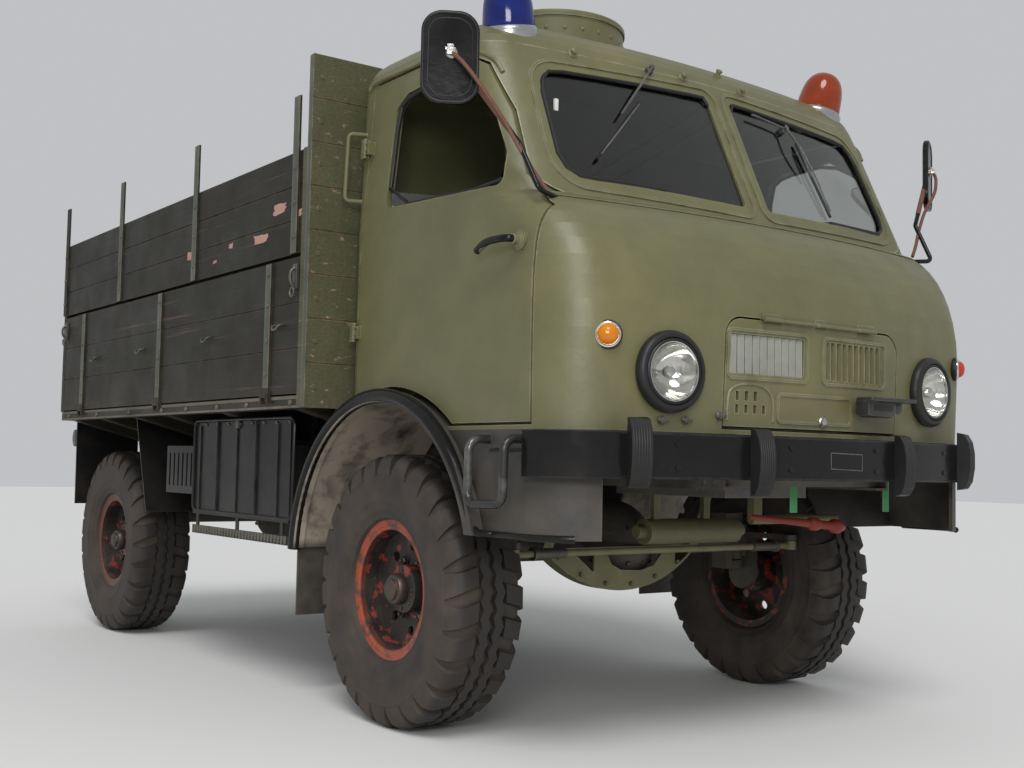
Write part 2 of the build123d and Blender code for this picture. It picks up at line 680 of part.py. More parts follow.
def grille_flap():
    """The nose flap: a piece of the nose with two framed louvres, short vents and a small blank door."""
    flap = (CAB_SOLID - cab_body(FLAP_SHEET, CAB_BOTTOM - 1)) & flap_prism(0)
    low, high = LOUVRE_BOTTOM + LOUVRE_MARGIN, LOUVRE_TOP - LOUVRE_MARGIN
    for (y0, y1), turn, width in zip(LOUVRES, BLADE_TURN, BLADE_WIDTH):
        flap += framed(max(y0, -FLAP_HALF + 2), y1, LOUVRE_BOTTOM, LOUVRE_TOP)
        opening = block(850, 1100, y0 + LOUVRE_MARGIN + 3, y1 - LOUVRE_MARGIN - 3, low, high)
        flap -= fillet(opening.edges().filter_by(Axis.X), 8)
        pitch = (y1 - y0 - 40) / LOUVRE_SLOTS
        for i in range(LOUVRE_SLOTS):
            y = y0 + 20 + (i + 0.5) * pitch
            x = NOSE_X - 3 - y * y / (2 * NOSE_BOW) - FLAP_SHEET / 2
            flap += Pos(x, y, (low + high) / 2) * Rot(0, 0, 90 - turn) * Box(width, BLADE, high - low + 4)
    flap += framed(-190, 160, 1002, 1096)
    for first, count, low, high in VENT_ROWS:
        for i in range(count):
            y = first + i * VENT_PITCH
            flap -= block(900, 1100, y - VENT_WIDTH / 2, y + VENT_WIDTH / 2, low, high)
    return flap + flap_hinge_leaves()


def blackout_lamp():
    """A hooded lamp on the flap, whose hood overhangs the flap's left edge."""
    hood = fillet(block(1004, 1085, 200, 430, 1050, 1100).edges().filter_by(Axis.X), 18)
    return hood + (block(950, 1010, 215, 385, 1052, 1098) - CAB_SOLID)


def backbone():
    """Central tube with the two final-drive housings and the gearbox case."""
    tube = rod((REAR_AXLE_X, 0, AXLE_Z), (0, 0, AXLE_Z), BACKBONE_R)
    front = Pos(0, 0, AXLE_Z) * Sphere(DIFF_R)
    rear = Pos(REAR_AXLE_X, 0, AXLE_Z) * Sphere(DIFF_R)
    case = fillet(block(-1080, -520, -150, 150, 470, 760).edges().filter_by(Axis.X), 40)
    return tube + front + rear + case


def half_axles(x, end):
    tubes = rod((x, -end, AXLE_Z), (x, end, AXLE_Z), 46)
    return tubes


def front_axle():
    """Half-axle tubes, each ending in a fork that holds the kingpin."""
    foot = (Align.CENTER, Align.CENTER, Align.MIN)
    axle = half_axles(0, KINGPIN_Y - 55) - Pos(0, 0, AXLE_Z) * Sphere(DIFF_R + FIT)
    for side in (-1, 1):
        y0, y1 = side * (KINGPIN_Y - 80), side * (KINGPIN_Y - 48)
        axle += block(-40, 40, y0, y1, 465, 685)
        for z in (465, 655):
            axle += block(-38, 38, y1, side * KINGPIN_Y, z, z + 30)
            axle += Pos(0, side * KINGPIN_Y, z) * Cylinder(38, 30, align=foot)
        axle -= Pos(0, side * KINGPIN_Y, 400) * Cylinder(KINGPIN_R + FIT, 400, align=foot)
    return axle


KINGPIN_R = 15
DROP_CASE_R = 65
CASE_IN = KINGPIN_Y + 43
CASE_OUT = KINGPIN_Y + 72
STUB_OUT = TRACK / 2 + 20


def drop_case(x, side):
    """The spur gear case that lowers the drive to the hub, with the stub axle."""
    y0, y1 = side * CASE_IN, side * CASE_OUT
    case = across_y(x, AXLE_Z, DROP_CASE_R, y0, y1) + across_y(x, TYRE_R, DROP_CASE_R, y0, y1)
    case += block(x - DROP_CASE_R, x + DROP_CASE_R, y0, y1, TYRE_R, AXLE_Z)
    return case + across_y(x, TYRE_R, HUB_BORE_R - FIT, y0, side * STUB_OUT)


def knuckle(side):
    """Steered hub carrier: kingpin boss, drop case, stub and steering arm."""
    y = side * KINGPIN_Y
    boss = Pos(0, y, 501) * Cylinder(36, 148, align=(Align.CENTER, Align.CENTER, Align.MIN))
    boss += Pos(0, y, 462) * Cylinder(KINGPIN_R, 226, align=(Align.CENTER, Align.CENTER, Align.MIN))
    web = block(-30, 30, y, side * CASE_IN, 510, 640)
    arm = block(30, STEER_ARM, y - 12, y + 12, TIE_ROD_Z + 20, TIE_ROD_Z + 40)
    pin = Pos(STEER_ARM, y, TIE_ROD_Z + 20) * Cylinder(24, 20, align=(Align.CENTER, Align.CENTER, Align.MIN))
    stud = Pos(STEER_ARM, y, TIE_ROD_Z - 14) * Cylinder(8, 40, align=(Align.CENTER, Align.CENTER, Align.MIN))
    return boss + web + drop_case(0, side) + arm + pin + stud


def tie_rod():
    """Cross rod with an eye at each steering arm."""
    bar = across_y(STEER_ARM, TIE_ROD_Z, TIE_ROD_R, -KINGPIN_Y, KINGPIN_Y)
    for side in (-1, 1):
        foot = Pos(STEER_ARM, side * KINGPIN_Y, TIE_ROD_Z - 16)
        bar += foot * Cylinder(22, 32, align=(Align.CENTER, Align.CENTER, Align.MIN))
    for side in (-1, 1):
        foot = Pos(STEER_ARM, side * KINGPIN_Y, TIE_ROD_Z - 20)
        bar -= foot * Cylinder(8 + FIT, 60, align=(Align.CENTER, Align.CENTER, Align.MIN))
    return bar


def steering_gear():
    """The cross cylinder hung under the engine, and the drag link's fixed arm beside it."""
    body = across_y(352, 640, 44, -145, 300)
    body += across_y(352, 640, 22, -180, 335)
    for y in (-90, 150):
        body += block(342, 362, y - 15, y + 15, 660, 770 - FIT)
    arm = across_y(600, 690, 16, 120, 560) + block(585, 615, 120, 160, 690, 770 - FIT)
    return [body, arm]


def rear_axle():
    axle = half_axles(REAR_AXLE_X, CASE_IN) - Pos(REAR_AXLE_X, 0, AXLE_Z) * Sphere(DIFF_R + FIT)
    for side in (-1, 1):
        axle += drop_case(REAR_AXLE_X, side)
    return axle


def rim(x, side):
    """Steel wheel: barrel, two flanges, dished disc and hub, turned about the wheel's axis."""
    half = RIM_WIDTH / 2
    seat = RIM_SEAT_R
    barrel = Polyline((seat, -half + 8), (seat, half - 8), (RIM_FLANGE_R, half - 8), (RIM_FLANGE_R, half),
                      (seat - RIM_WALL, half), (seat - RIM_WALL, 30), (HUB_R, 5), (HUB_R, 52), (HUB_BORE_R + 12, 60),
                      (HUB_BORE_R + 12, 62), (0, 62), (0, 28), (HUB_BORE_R, 28), (HUB_BORE_R, -60), (HUB_R, -60),
                      (HUB_R, -5), (seat - RIM_WALL, 20), (seat - RIM_WALL, -half), (RIM_FLANGE_R, -half),
                      (RIM_FLANGE_R, -half + 8), close=True)
    wheel = revolve(Plane.XZ * make_face(barrel), axis=Axis.Z)
    for i in range(HAND_HOLES):
        hole = Cylinder(HAND_HOLE_R, 80)
        wheel -= Rot(0, 0, 360 / HAND_HOLES * i) * Pos(HAND_HOLE_AT, 0, 0) * hole
    return Pos(x, side * TRACK / 2, TYRE_R) * Rot(-90 * side, 0, 0) * wheel


LUGS = 26
LUG_NOTCH = 30
LUG_DEPTH = 13


def tyre_ring():
    """A tyre whose shoulders are notched into side lugs, with three grooves round the tread."""
    half = TYRE_WIDTH / 2
    bead = RIM_WIDTH / 2 - 8 - FIT
    right = [(RIM_SEAT_R + FIT, bead), (RIM_FLANGE_R + 2, bead), (RIM_FLANGE_R + 10, bead + 24), (272, half - 5),
             (330, half), (398, half - 6), (430, half - 16), (TYRE_R, half - 38), (TYRE_R, 58), (TYRE_R - 9, 56),
             (TYRE_R - 9, 48), (TYRE_R, 46), (TYRE_R, 5), (TYRE_R - 9, 4)]
    outline = right + [(r, -y) for r, y in reversed(right)]
    ring = revolve(Plane.XZ * make_face(Polyline(*outline, close=True)), axis=Axis.Z)
    notch = Box(60, LUG_NOTCH, 60)
    notches = []
    for i in range(2 * LUGS):
        side = 1 - 2 * (i % 2)
        place = Rot(0, 0, 180 / LUGS * i) * Pos(TYRE_R - LUG_DEPTH + 30, 0, side * (half - 44 + 30)) * Rot(0, side * 20, 0)
        notches.append(place * notch)
    return ring - Compound(notches)


TYRE = tyre_ring()


def tyre(x, side):
    return Pos(x, side * TRACK / 2, TYRE_R) * Rot(-90 * side, 0, 0) * TYRE


def engine_block():
    """A plain stand-in for the engine, on two feet that rest in the frame rails."""
    foot = RAIL_Y + RAIL_WIDTH / 2 - 8 - FIT
    return block(260, 780, -190, 190, 770, 1240) + block(480, 560, -foot, foot, RAIL_Z + 8 + FIT, 860)


GUARD_FRONT_X = 182
GUARD_SHEET = 10
GUARD_DEPTH = 62
GUARD_Y = -84
GUARD_ARC_Z = 931
GUARD_R = 509
GUARD_TOP = 577
# The plate's windows, as (y, z) outlines.
GUARD_WINDOWS = [
    [(-300, 549), (-228, 492), (-219, 498), (-219, 549)],
    [(-160, 553), (-140, 515), (-95, 494), (0, 490), (62, 505), (102, 549)],
    [(166, 549), (170, 506), (196, 508), (256, 549)]]


def axle_guard():
    """The curved guard below the front final drive: a windowed plate, a flange and two straps to the rails."""
    back = GUARD_FRONT_X - GUARD_SHEET
    bowl = rod((back, GUARD_Y, GUARD_ARC_Z), (GUARD_FRONT_X, GUARD_Y, GUARD_ARC_Z), GUARD_R)
    guard = bowl & block(back - 1, 300, -900, 700, 0, GUARD_TOP)
    for window in GUARD_WINDOWS:
        guard -= front_plate(window, back - 1, GUARD_FRONT_X + 1)
    flange = rod((GUARD_FRONT_X - GUARD_DEPTH, GUARD_Y, GUARD_ARC_Z), (GUARD_FRONT_X, GUARD_Y, GUARD_ARC_Z), GUARD_R)
    flange -= rod((0, GUARD_Y, GUARD_ARC_Z), (300, GUARD_Y, GUARD_ARC_Z), GUARD_R - 8)
    guard += flange & block(0, 300, -900, 700, 0, GUARD_TOP)
    reach = math.sqrt(GUARD_R * GUARD_R - (GUARD_ARC_Z - GUARD_TOP) ** 2)
    for side in (-1, 1):
        foot = GUARD_Y + side * reach
        rail = side * RAIL_Y
        strap = [(foot, GUARD_TOP), (foot - side * 40, GUARD_TOP - 4), (rail - side * 20, RAIL_Z), (rail + side * 20, RAIL_Z)]
        guard += front_plate(strap, back, GUARD_FRONT_X)
    return guard


CROSS_X = [900, -650, -1500, -2450, -3120]


def body_frame():
    """Two channel rails joined by cross members, which hang from the backbone on brackets."""
    frame = block(RAIL_REAR_X, RAIL_FRONT_X, RAIL_Y - RAIL_WIDTH / 2, RAIL_Y + RAIL_WIDTH / 2, RAIL_Z, RAIL_Z + RAIL_HEIGHT)
    frame -= block(RAIL_REAR_X - 1, RAIL_FRONT_X + 1, 0, RAIL_Y + RAIL_WIDTH / 2 - 8, RAIL_Z + 8, RAIL_Z + RAIL_HEIGHT - 8)
    frame += mirror(frame, about=Plane.XZ)
    for x in CROSS_X:
        frame += block(x - 30, x + 30, -RAIL_Y - 24, RAIL_Y + 24, RAIL_Z + 10, RAIL_Z + 70)
    stop = extrude(bumper_outline(BUMPER_DEPTH + FIT), amount=BUMPER_TOP - BUMPER_BOTTOM)
    for side in (-1, 1):
        frame += block(RAIL_FRONT_X - 1, BUMPER_X, side * (RAIL_Y - 30), side * (RAIL_Y + 30), BUMPER_BOTTOM, 920) & stop
    for x in (-1500, -2300):
        saddle = front_plate([(-RAIL_Y, RAIL_Z), (-70, 500), (70, 500), (RAIL_Y, RAIL_Z)], x - 10, x + 10)
        frame += saddle - rod((x - 20, 0, AXLE_Z), (x + 20, 0, AXLE_Z), BACKBONE_R + FIT)
    return frame


BEARERS = [-480, -1130, -1730, -2140, -2600, -3045]


BOARD_HINGE_Z = 1096
STRAP = 8
RAIL_IN = 12
TAIL_GAP = 10


SIDE_PLANKS = 3
RACK_PLANKS = 3
SEAM = 5
SEAM_DEPTH = 4


def seams(x0, x1, outside, inside, low, high, planks):
    """Shallow grooves between level planks, on both faces of a board that lies along X."""
    grooves = []
    for i in range(1, planks):
        z = low + i * (high - low) / planks
        for face in (outside, inside):
            grooves.append(block(x0 - 1, x1 + 1, face - SEAM_DEPTH, face + SEAM_DEPTH, z - SEAM / 2, z + SEAM / 2))
    return grooves


def hinged_board(length, high, straps):
    """A bed side lying along X, with its hinge line on X and its outside towards -Y."""
    low = SIDE_HINGE_Z - 2 - BOARD_HINGE_Z
    board = block(-length / 2, length / 2, STRAP, STRAP + BOARD, low, high - BOARD_HINGE_Z)
    for groove in seams(-length / 2, length / 2, STRAP, STRAP + BOARD, low, high - BOARD_HINGE_Z, SIDE_PLANKS):
        board -= groove
    for x in straps:
        place = Plane(origin=(x, 0, 0))
        board += block(x - BARREL / 2, x + BARREL / 2, 0, STRAP, 0, high - BOARD_HINGE_Z)
        board += hinge_barrel(place)
        board -= place * Rot(0, 90, 0) * Cylinder(PIN_R + FIT, BARREL + 20)
    return board


def board_hinge_pins(straps):
    """The pins below a bed side, on ears that rise from the edge rail."""
    pins = []
    for x in straps:
        pin = hinge_pin(Plane(origin=(x, 0, 0)))
        for side in (-1, 1):
            ear = x + side * (BARREL / 2 + EAR_GAP + EAR / 2)
            pin += block(ear - EAR / 2, ear + EAR / 2, -6, RAIL_IN + 2, -30, -5)
        pins.append(pin)
    return pins


SIDE_LENGTH = BED_FRONT_X - 68 - (BED_REAR_X + 48)
SIDE_MID_X = (BED_FRONT_X - 68 + BED_REAR_X + 48) / 2
SIDE_STRAPS = [-670 - SIDE_MID_X, -1770 - SIDE_MID_X, -2830 - SIDE_MID_X]
TAIL_HALF = BED_HALF - 45 - TAIL_GAP
TAIL_STRAPS = [-700, 0, 700]


def at_right_side(shape):
    return Pos(SIDE_MID_X, -BED_HALF, BOARD_HINGE_Z) * shape


def at_tail(shape):
    return Pos(BED_REAR_X, 0, BOARD_HINGE_Z) * Rot(0, 0, -90) * shape


def bed_floor():
    """Boarded floor on cross bearers, edged by a steel rail that carries the hinge pins."""
    floor = block(BED_REAR_X + 42, BED_FRONT_X - BOARD - FIT, -BED_HALF + 42, BED_HALF - 42, 1092, FLOOR_TOP)
    for side in (-1, 1):
        floor += block(BED_REAR_X + RAIL_IN, BED_FRONT_X - 61, side * (BED_HALF - 70), side * (BED_HALF - RAIL_IN),
                       BED_BOTTOM, 1092)
    floor += block(BED_REAR_X + RAIL_IN, BED_REAR_X + 60, -BED_HALF + RAIL_IN, BED_HALF - RAIL_IN, BED_BOTTOM, 1092)
    low = RAIL_Z + RAIL_HEIGHT + FIT
    for x in BEARERS:
        floor += front_plate([(-1060, 1092), (-1060, BED_BOTTOM), (-600, low), (600, low), (1060, BED_BOTTOM),
                              (1060, 1092)], x - 35, x + 35)
    for pin in board_hinge_pins(SIDE_STRAPS):
        for seated in both_sides(at_right_side(pin)):
            floor += seated
    for pin in board_hinge_pins(TAIL_STRAPS):
        floor += at_tail(pin)
    return floor


HEAD_PLANKS = 8


def headboard():
    """Full-height front wall of planks with a steel post at each end."""
    wall = block(BED_FRONT_X - 28, BED_FRONT_X, -BED_HALF, BED_HALF, BED_BOTTOM, HEADBOARD_TOP)
    for i in range(1, HEAD_PLANKS):
        z = BED_BOTTOM + i * (HEADBOARD_TOP - BED_BOTTOM) / HEAD_PLANKS
        for face in (BED_FRONT_X - BOARD, BED_FRONT_X):
            wall -= block(face - SEAM_DEPTH, face + SEAM_DEPTH, -BED_HALF - 1, BED_HALF + 1, z - SEAM / 2, z + SEAM / 2)
    for side in (-1, 1):
        wall += block(BED_FRONT_X - 60, BED_FRONT_X - 28, side * (BED_HALF - 35), side * BED_HALF, BED_BOTTOM, RACK_TOP)
    return wall


SIDE_OUT = BED_HALF - STRAP


def drop_side():
    """The right bed side: boards with three hinge straps."""
    return at_right_side(hinged_board(SIDE_LENGTH, SIDE_TOP, SIDE_STRAPS))


def racks():
    """Upper side boards with their stakes, held by the headboard posts and the rear corner posts."""
    pieces = []
    for side in (-1, 1):
        rack = block(BED_REAR_X, BED_FRONT_X - 60, side * (SIDE_OUT - BOARD), side * SIDE_OUT, RACK_BOTTOM, RACK_TOP)
        for groove in seams(BED_REAR_X, BED_FRONT_X - 60, side * (SIDE_OUT - BOARD), side * SIDE_OUT,
                            RACK_BOTTOM, RACK_TOP, RACK_PLANKS):
            rack -= groove
        for x in (-475, -1403, -2318, -3160):
            rack += block(x - 22, x + 22, side * SIDE_OUT, side * BED_HALF, RACK_BOTTOM, POST_TOP)
        rack += block(BED_REAR_X, BED_REAR_X + 40, side * (BED_HALF - 45), side * (BED_HALF - 8), 1092, RACK_TOP)
        pieces.append(rack)
    return pieces


def tailgate():
    return at_tail(hinged_board(2 * TAIL_HALF, SIDE_TOP, TAIL_STRAPS))


LOCKER_RIBS = 5
BATTERY_SLITS = 6


def side_lockers():
    """Ribbed locker and battery box on the right, fuel tank and locker on the left."""
    locker = block(-1547, -640, -1000, -640, 630, 915) + block(-1547, -640, -1000, -990, 900, 1012)
    for i in range(LOCKER_RIBS):
        x = -1480 + i * 185
        locker += block(x - 6, x + 6, -1006, -1000, 645, 1000)
    locker += block(-1547, -640, -1000, -992, 548, 582)
    for x in (-1500, -1100, -700):
        locker += block(x - 12, x + 12, -998, -992, 582, 630)
    battery = block(-1890, -1570, -990, -640, 709, 915)
    tank = fillet(block(-1500, -640, 640, 990, 620, 915).edges().filter_by(Axis.X), 90)
    hangers = [block(x - 25, x + 25, -820, -810, 915 + FIT, 1092 - FIT) for x in (-1625, -1400, -800)]
    hangers += [block(x - 25, x + 25, 810, 820, 915 + FIT, 1092 - FIT) for x in (-1400, -800)]
    for i in range(BATTERY_SLITS):
        x = -1852 + i * 49
        battery -= block(x - 9, x + 9, -991, -980, 740, 885)
    return [locker, battery, tank] + hangers


def rear_mudguard():
    """Two plates under the bed, one leaning before the rear wheel and one behind it."""
    front = [(-2086, 612), (-2266, 1092 - FIT), (-2258, 1092 - FIT), (-2078, 612)]
    back = [(-3138, 612), (-3150, BED_BOTTOM - FIT), (-3142, BED_BOTTOM - FIT), (-3130, 612)]
    return [side_plate(points, -1010, -680) for points in (front, back)]


def tail_lamp():
    """A round lamp on a flat hanger below the rear rail."""
    lamp = across_y(-3205, 957, 45, -1000, -930)
    return lamp + block(-3178, -3170, -985, -945, 957, BED_BOTTOM - FIT)


HITCH_REAR_X = -3340
HITCH_Z = 760
HITCH_BORE_R = 24


def tow_hitch():
    """Rear coupling jaw on the last cross member, with its vertical pin bore."""
    jaw = block(HITCH_REAR_X, RAIL_REAR_X - 60, -55, 55, HITCH_Z - 60, HITCH_Z + 60)
    jaw -= block(HITCH_REAR_X - 1, RAIL_REAR_X - 90, -56, 56, HITCH_Z - 32, HITCH_Z + 32)
    jaw += block(RAIL_REAR_X - 61, RAIL_REAR_X - FIT, -120, 120, HITCH_Z - 80, HITCH_Z + 105)
    hole = Pos(HITCH_REAR_X + 45, 0, HITCH_Z) * Cylinder(HITCH_BORE_R, 200)
    return jaw - hole


def parts():
    """Every node of the truck, by name."""
    right_door = door() + door_handle() + door_hinge_leaves()
    right_side = drop_side()
    made = {
        "backbone_tube": backbone(),
        "front_axle": front_axle(),
        "axle_guard": axle_guard(),
        "rear_axle": rear_axle(),
        "engine_block": engine_block(),
        "body_frame": body_frame(),
        "cab_floor": cab_floor(),
        "engine_cover": engine_cover(),
        "cab_front": cab_front(),
        "cab_rear": cab_rear(),
        "cab_roof": cab_roof(),
        "cab_glass": cab_glass(),
        "dashboard": dashboard(),
        "steering_wheel": steering_wheel(),
        "seat_cushions": seat_cushions(),
        "door_right": right_door,
        "door_left": mirror(right_door, about=Plane.XZ),
        "door_glass_right": door_glass(),
        "door_glass_left": mirror(door_glass(), about=Plane.XZ),
        "fenders": both_sides(fender()),
        "cab_steps": both_sides(cab_step()),
        "bumper": bumper(),
        "overriders": [piece for row in OVERRIDERS for piece in both_sides(overrider(*row))],
        "headlights": both_sides(headlight()),
        "indicators": both_sides(indicator()),
        "beacon_right": beacon(),
        "beacon_left": mirror(beacon(), about=Plane.XZ),
        "mirrors": both_sides(mirror_set()),
        "hatch_lid": hatch_lid(),
        "grille_flap": grille_flap(),
        "blackout_lamp": blackout_lamp(),
        "bed_floor": bed_floor(),
        "headboard": headboard(),
        "racks": racks(),
        "tailgate": tailgate(),
        "drop_side_right": right_side,
        "drop_side_left": mirror(right_side, about=Plane.XZ),
        "side_lockers": side_lockers(),
        "rear_mudguards": [piece for plate in rear_mudguard() for piece in both_sides(plate)],
        "tail_lamps": both_sides(tail_lamp()),
        "tow_hitch": tow_hitch(),
        "tie_rod": tie_rod(),
        "steering_gear": steering_gear(),
    }
    for name, side in (("right", -1), ("left", 1)):
        made["knuckle_" + name] = knuckle(side)
        for end, x in (("front", 0), ("rear", REAR_AXLE_X)):
            made["rim_" + end + "_" + name] = rim(x, side)
            made["tyre_" + end + "_" + name] = tyre(x, side)
    return made


os.makedirs("parts", exist_ok=True)
for node, shape in parts().items():
    pieces = shape if isinstance(shape, list) else [shape]
    solids = [Pos(FRONT_AXLE_X, 0, 0) * solid for piece in pieces for solid in piece.solids()]
    export_step(Compound(solids), os.path.join("parts", node + ".step"))
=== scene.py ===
import math

import bmesh
import bpy
from mathutils import Matrix, Vector
from mathutils.bvhtree import BVHTree


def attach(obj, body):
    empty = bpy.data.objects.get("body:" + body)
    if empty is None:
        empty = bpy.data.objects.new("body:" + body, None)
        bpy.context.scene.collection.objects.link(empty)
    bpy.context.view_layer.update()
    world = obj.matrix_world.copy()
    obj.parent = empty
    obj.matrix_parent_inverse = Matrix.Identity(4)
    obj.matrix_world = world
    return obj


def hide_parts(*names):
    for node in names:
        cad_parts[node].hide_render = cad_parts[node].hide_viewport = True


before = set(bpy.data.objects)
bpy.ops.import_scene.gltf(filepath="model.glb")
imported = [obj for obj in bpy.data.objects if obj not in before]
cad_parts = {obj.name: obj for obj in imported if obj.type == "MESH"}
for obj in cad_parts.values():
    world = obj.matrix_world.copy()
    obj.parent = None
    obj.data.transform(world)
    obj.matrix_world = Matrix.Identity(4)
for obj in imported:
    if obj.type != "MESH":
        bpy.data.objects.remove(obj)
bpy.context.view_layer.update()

# The photograph's viewpoint: a standing camera held low, off the truck's front right corner,
# level with the headlights and rolled about a degree.
eye = Vector((4.689, -3.075, 0.865))
yaw, pitch, roll = math.radians(143.746), math.radians(3.651), math.radians(1.114)
look = Vector((math.cos(yaw) * math.cos(pitch), math.sin(yaw) * math.cos(pitch), math.sin(pitch)))
level_right = look.cross(Vector((0, 0, 1))).normalized()
level_up = level_right.cross(look)
view_right = math.cos(roll) * level_right + math.sin(roll) * level_up
view_up = math.cos(roll) * level_up - math.sin(roll) * level_right
focal_pixels = 1249.0
picture_width, picture_height = 1024, 768
sensor_width = 36

camera_data = bpy.data.cameras.new("photo_view")
camera_data.sensor_width = sensor_width
camera_data.lens = focal_pixels / picture_width * sensor_width
camera = bpy.data.objects.new("photo_view", camera_data)
camera.matrix_world = Matrix((
    (view_right.x, view_up.x, -look.x, eye.x),
    (view_right.y, view_up.y, -look.y, eye.y),
    (view_right.z, view_up.z, -look.z, eye.z),
    (0, 0, 0, 1)))
bpy.context.scene.collection.objects.link(camera)
bpy.context.scene.camera = camera


# The floor is a plain pale sheet. A soft sun, a pale sky and one broad panel near the camera light
# the truck at about the level at which a colour renders as it is written.
def new_finish(name):
    """A new material, with its node tree and its surface shader."""
    finish = bpy.data.materials.new(name)
    finish.use_nodes = True
    return finish, finish.node_tree, finish.node_tree.nodes["Principled BSDF"]


floor_mesh = bpy.data.meshes.new("floor")
floor_mesh.from_pydata([(-30, -30, 0), (30, -30, 0), (30, 30, 0), (-30, 30, 0)], [], [(0, 1, 2, 3)])
floor = bpy.data.objects.new("floor", floor_mesh)
bpy.context.scene.collection.objects.link(floor)
floor_finish, _, floor_surface = new_finish("pale_floor")
floor_surface.inputs["Base Color"].default_value = (0.72, 0.72, 0.70, 1)
floor_surface.inputs["Roughness"].default_value = 0.8
floor_mesh.materials.append(floor_finish)

sky = bpy.data.worlds.new("studio")
bpy.context.scene.world = sky
sky.use_nodes = True
sky_nodes = sky.node_tree.nodes
sky_nodes.clear()
sky_out = sky_nodes.new("ShaderNodeOutputWorld")
sky_light = sky_nodes.new("ShaderNodeBackground")
sky_light.inputs["Color"].default_value = (0.95, 0.97, 1.0, 1)
sky_light.inputs["Strength"].default_value = 0.55
sky.node_tree.links.new(sky_light.outputs["Background"], sky_out.inputs["Surface"])

sun_data = bpy.data.lights.new("soft_sun", "SUN")
sun_data.energy = 1.5
sun_data.angle = math.radians(25)
sun = bpy.data.objects.new("soft_sun", sun_data)
sun.rotation_euler = (math.radians(38), math.radians(12), math.radians(40))
bpy.context.scene.collection.objects.link(sun)

panel_data = bpy.data.lights.new("front_panel", "AREA")
panel_data.shape = "RECTANGLE"
panel_data.size = 1.6
panel_data.size_y = 1.0
panel_data.energy = 70
panel = bpy.data.objects.new("front_panel", panel_data)
panel.location = eye + Vector((0.3, -0.3, 1.3))
panel.rotation_euler = (Vector((1.6, -0.3, 1.2)) - panel.location).to_track_quat("-Z", "Y").to_euler()
bpy.context.scene.collection.objects.link(panel)
bpy.context.scene.view_settings.view_transform = "Standard"


# The backbone tube, its final drives and the half axles are cast and welded steel, painted dull
# and caked with road dirt. The coat, dirt and edge wear are made here for every painted piece.
def feed(tree, socket, value):
    """Links a socket to another, or gives it a value."""
    if isinstance(value, bpy.types.NodeSocket):
        tree.links.new(value, socket)
    else:
        socket.default_value = value


def connect(tree, node, **inputs):
    """Feeds a node's inputs by name."""
    for name, value in inputs.items():
        feed(tree, node.inputs[name.replace("_", " ")], value)
    return node


def added(tree, kind, **inputs):
    """A new node with its inputs fed."""
    return connect(tree, tree.nodes.new(kind), **inputs)


def reckoned(tree, operation, *values):
    """The result of a sum on signals or numbers."""
    node = tree.nodes.new("ShaderNodeMath")
    node.operation = operation
    for socket, value in zip(node.inputs, values):
        feed(tree, socket, value)
    return node.outputs["Value"]


def multiply(tree, first, second):
    return reckoned(tree, "MULTIPLY", first, second)


def scaled(tree, vector, by):
    """A vector or colour made longer or brighter."""
    node = tree.nodes.new("ShaderNodeVectorMath")
    node.operation = "SCALE"
    feed(tree, node.inputs[0], vector)
    return connect(tree, node, Scale=by).outputs["Vector"]


def compared(tree, operation, first, second):
    """A number that says how two vectors lie to each other."""
    node = tree.nodes.new("ShaderNodeVectorMath")
    node.operation = operation
    feed(tree, node.inputs[0], first)
    feed(tree, node.inputs[1], second)
    return node.outputs["Value"]


def split(tree, vector):
    """The X, Y and Z of a place or direction."""
    return added(tree, "ShaderNodeSeparateXYZ", Vector=vector).outputs


def ranged(tree, value, low=0, high=1, to_low=0, to_high=1):
    """A signal remapped from one pair of levels to another."""
    cut = added(tree, "ShaderNodeMapRange", Value=value, From_Min=low, From_Max=high, To_Min=to_low,
                To_Max=to_high)
    return cut.outputs["Result"]


def noise_mask(tree, place, size, low, high, detail=5):
    """A noise pattern cut to a mask that runs from 0 to 1 between two of its levels."""
    noise = added(tree, "ShaderNodeTexNoise", Vector=place, Scale=size, Detail=detail, Roughness=0.62)
    return ranged(tree, noise.outputs["Fac"], low, high)


def mix_colour(tree, share, first, second):
    mix = tree.nodes.new("ShaderNodeMix")
    mix.data_type = "RGBA"
    for index, value in ((0, share), (6, first), (7, second)):
        feed(tree, mix.inputs[index], value)
    return mix.outputs[2]


def object_place(tree):
    return tree.nodes.new("ShaderNodeTexCoord").outputs["Object"]


def new_group(name, inputs, outputs):
    """An empty shader group, with the place on the piece, what it is given and where it leaves."""
    group = bpy.data.node_groups.new(name, "ShaderNodeTree")
    for socket, kind, value in inputs:
        group.interface.new_socket(socket, in_out="INPUT", socket_type=kind).default_value = value
    for socket, kind in outputs:
        group.interface.new_socket(socket, in_out="OUTPUT", socket_type=kind)
    given = group.nodes.new("NodeGroupInput").outputs
    return group, object_place(group), given, group.nodes.new("NodeGroupOutput")


COLOUR, NUMBER = "NodeSocketColor", "NodeSocketFloat"

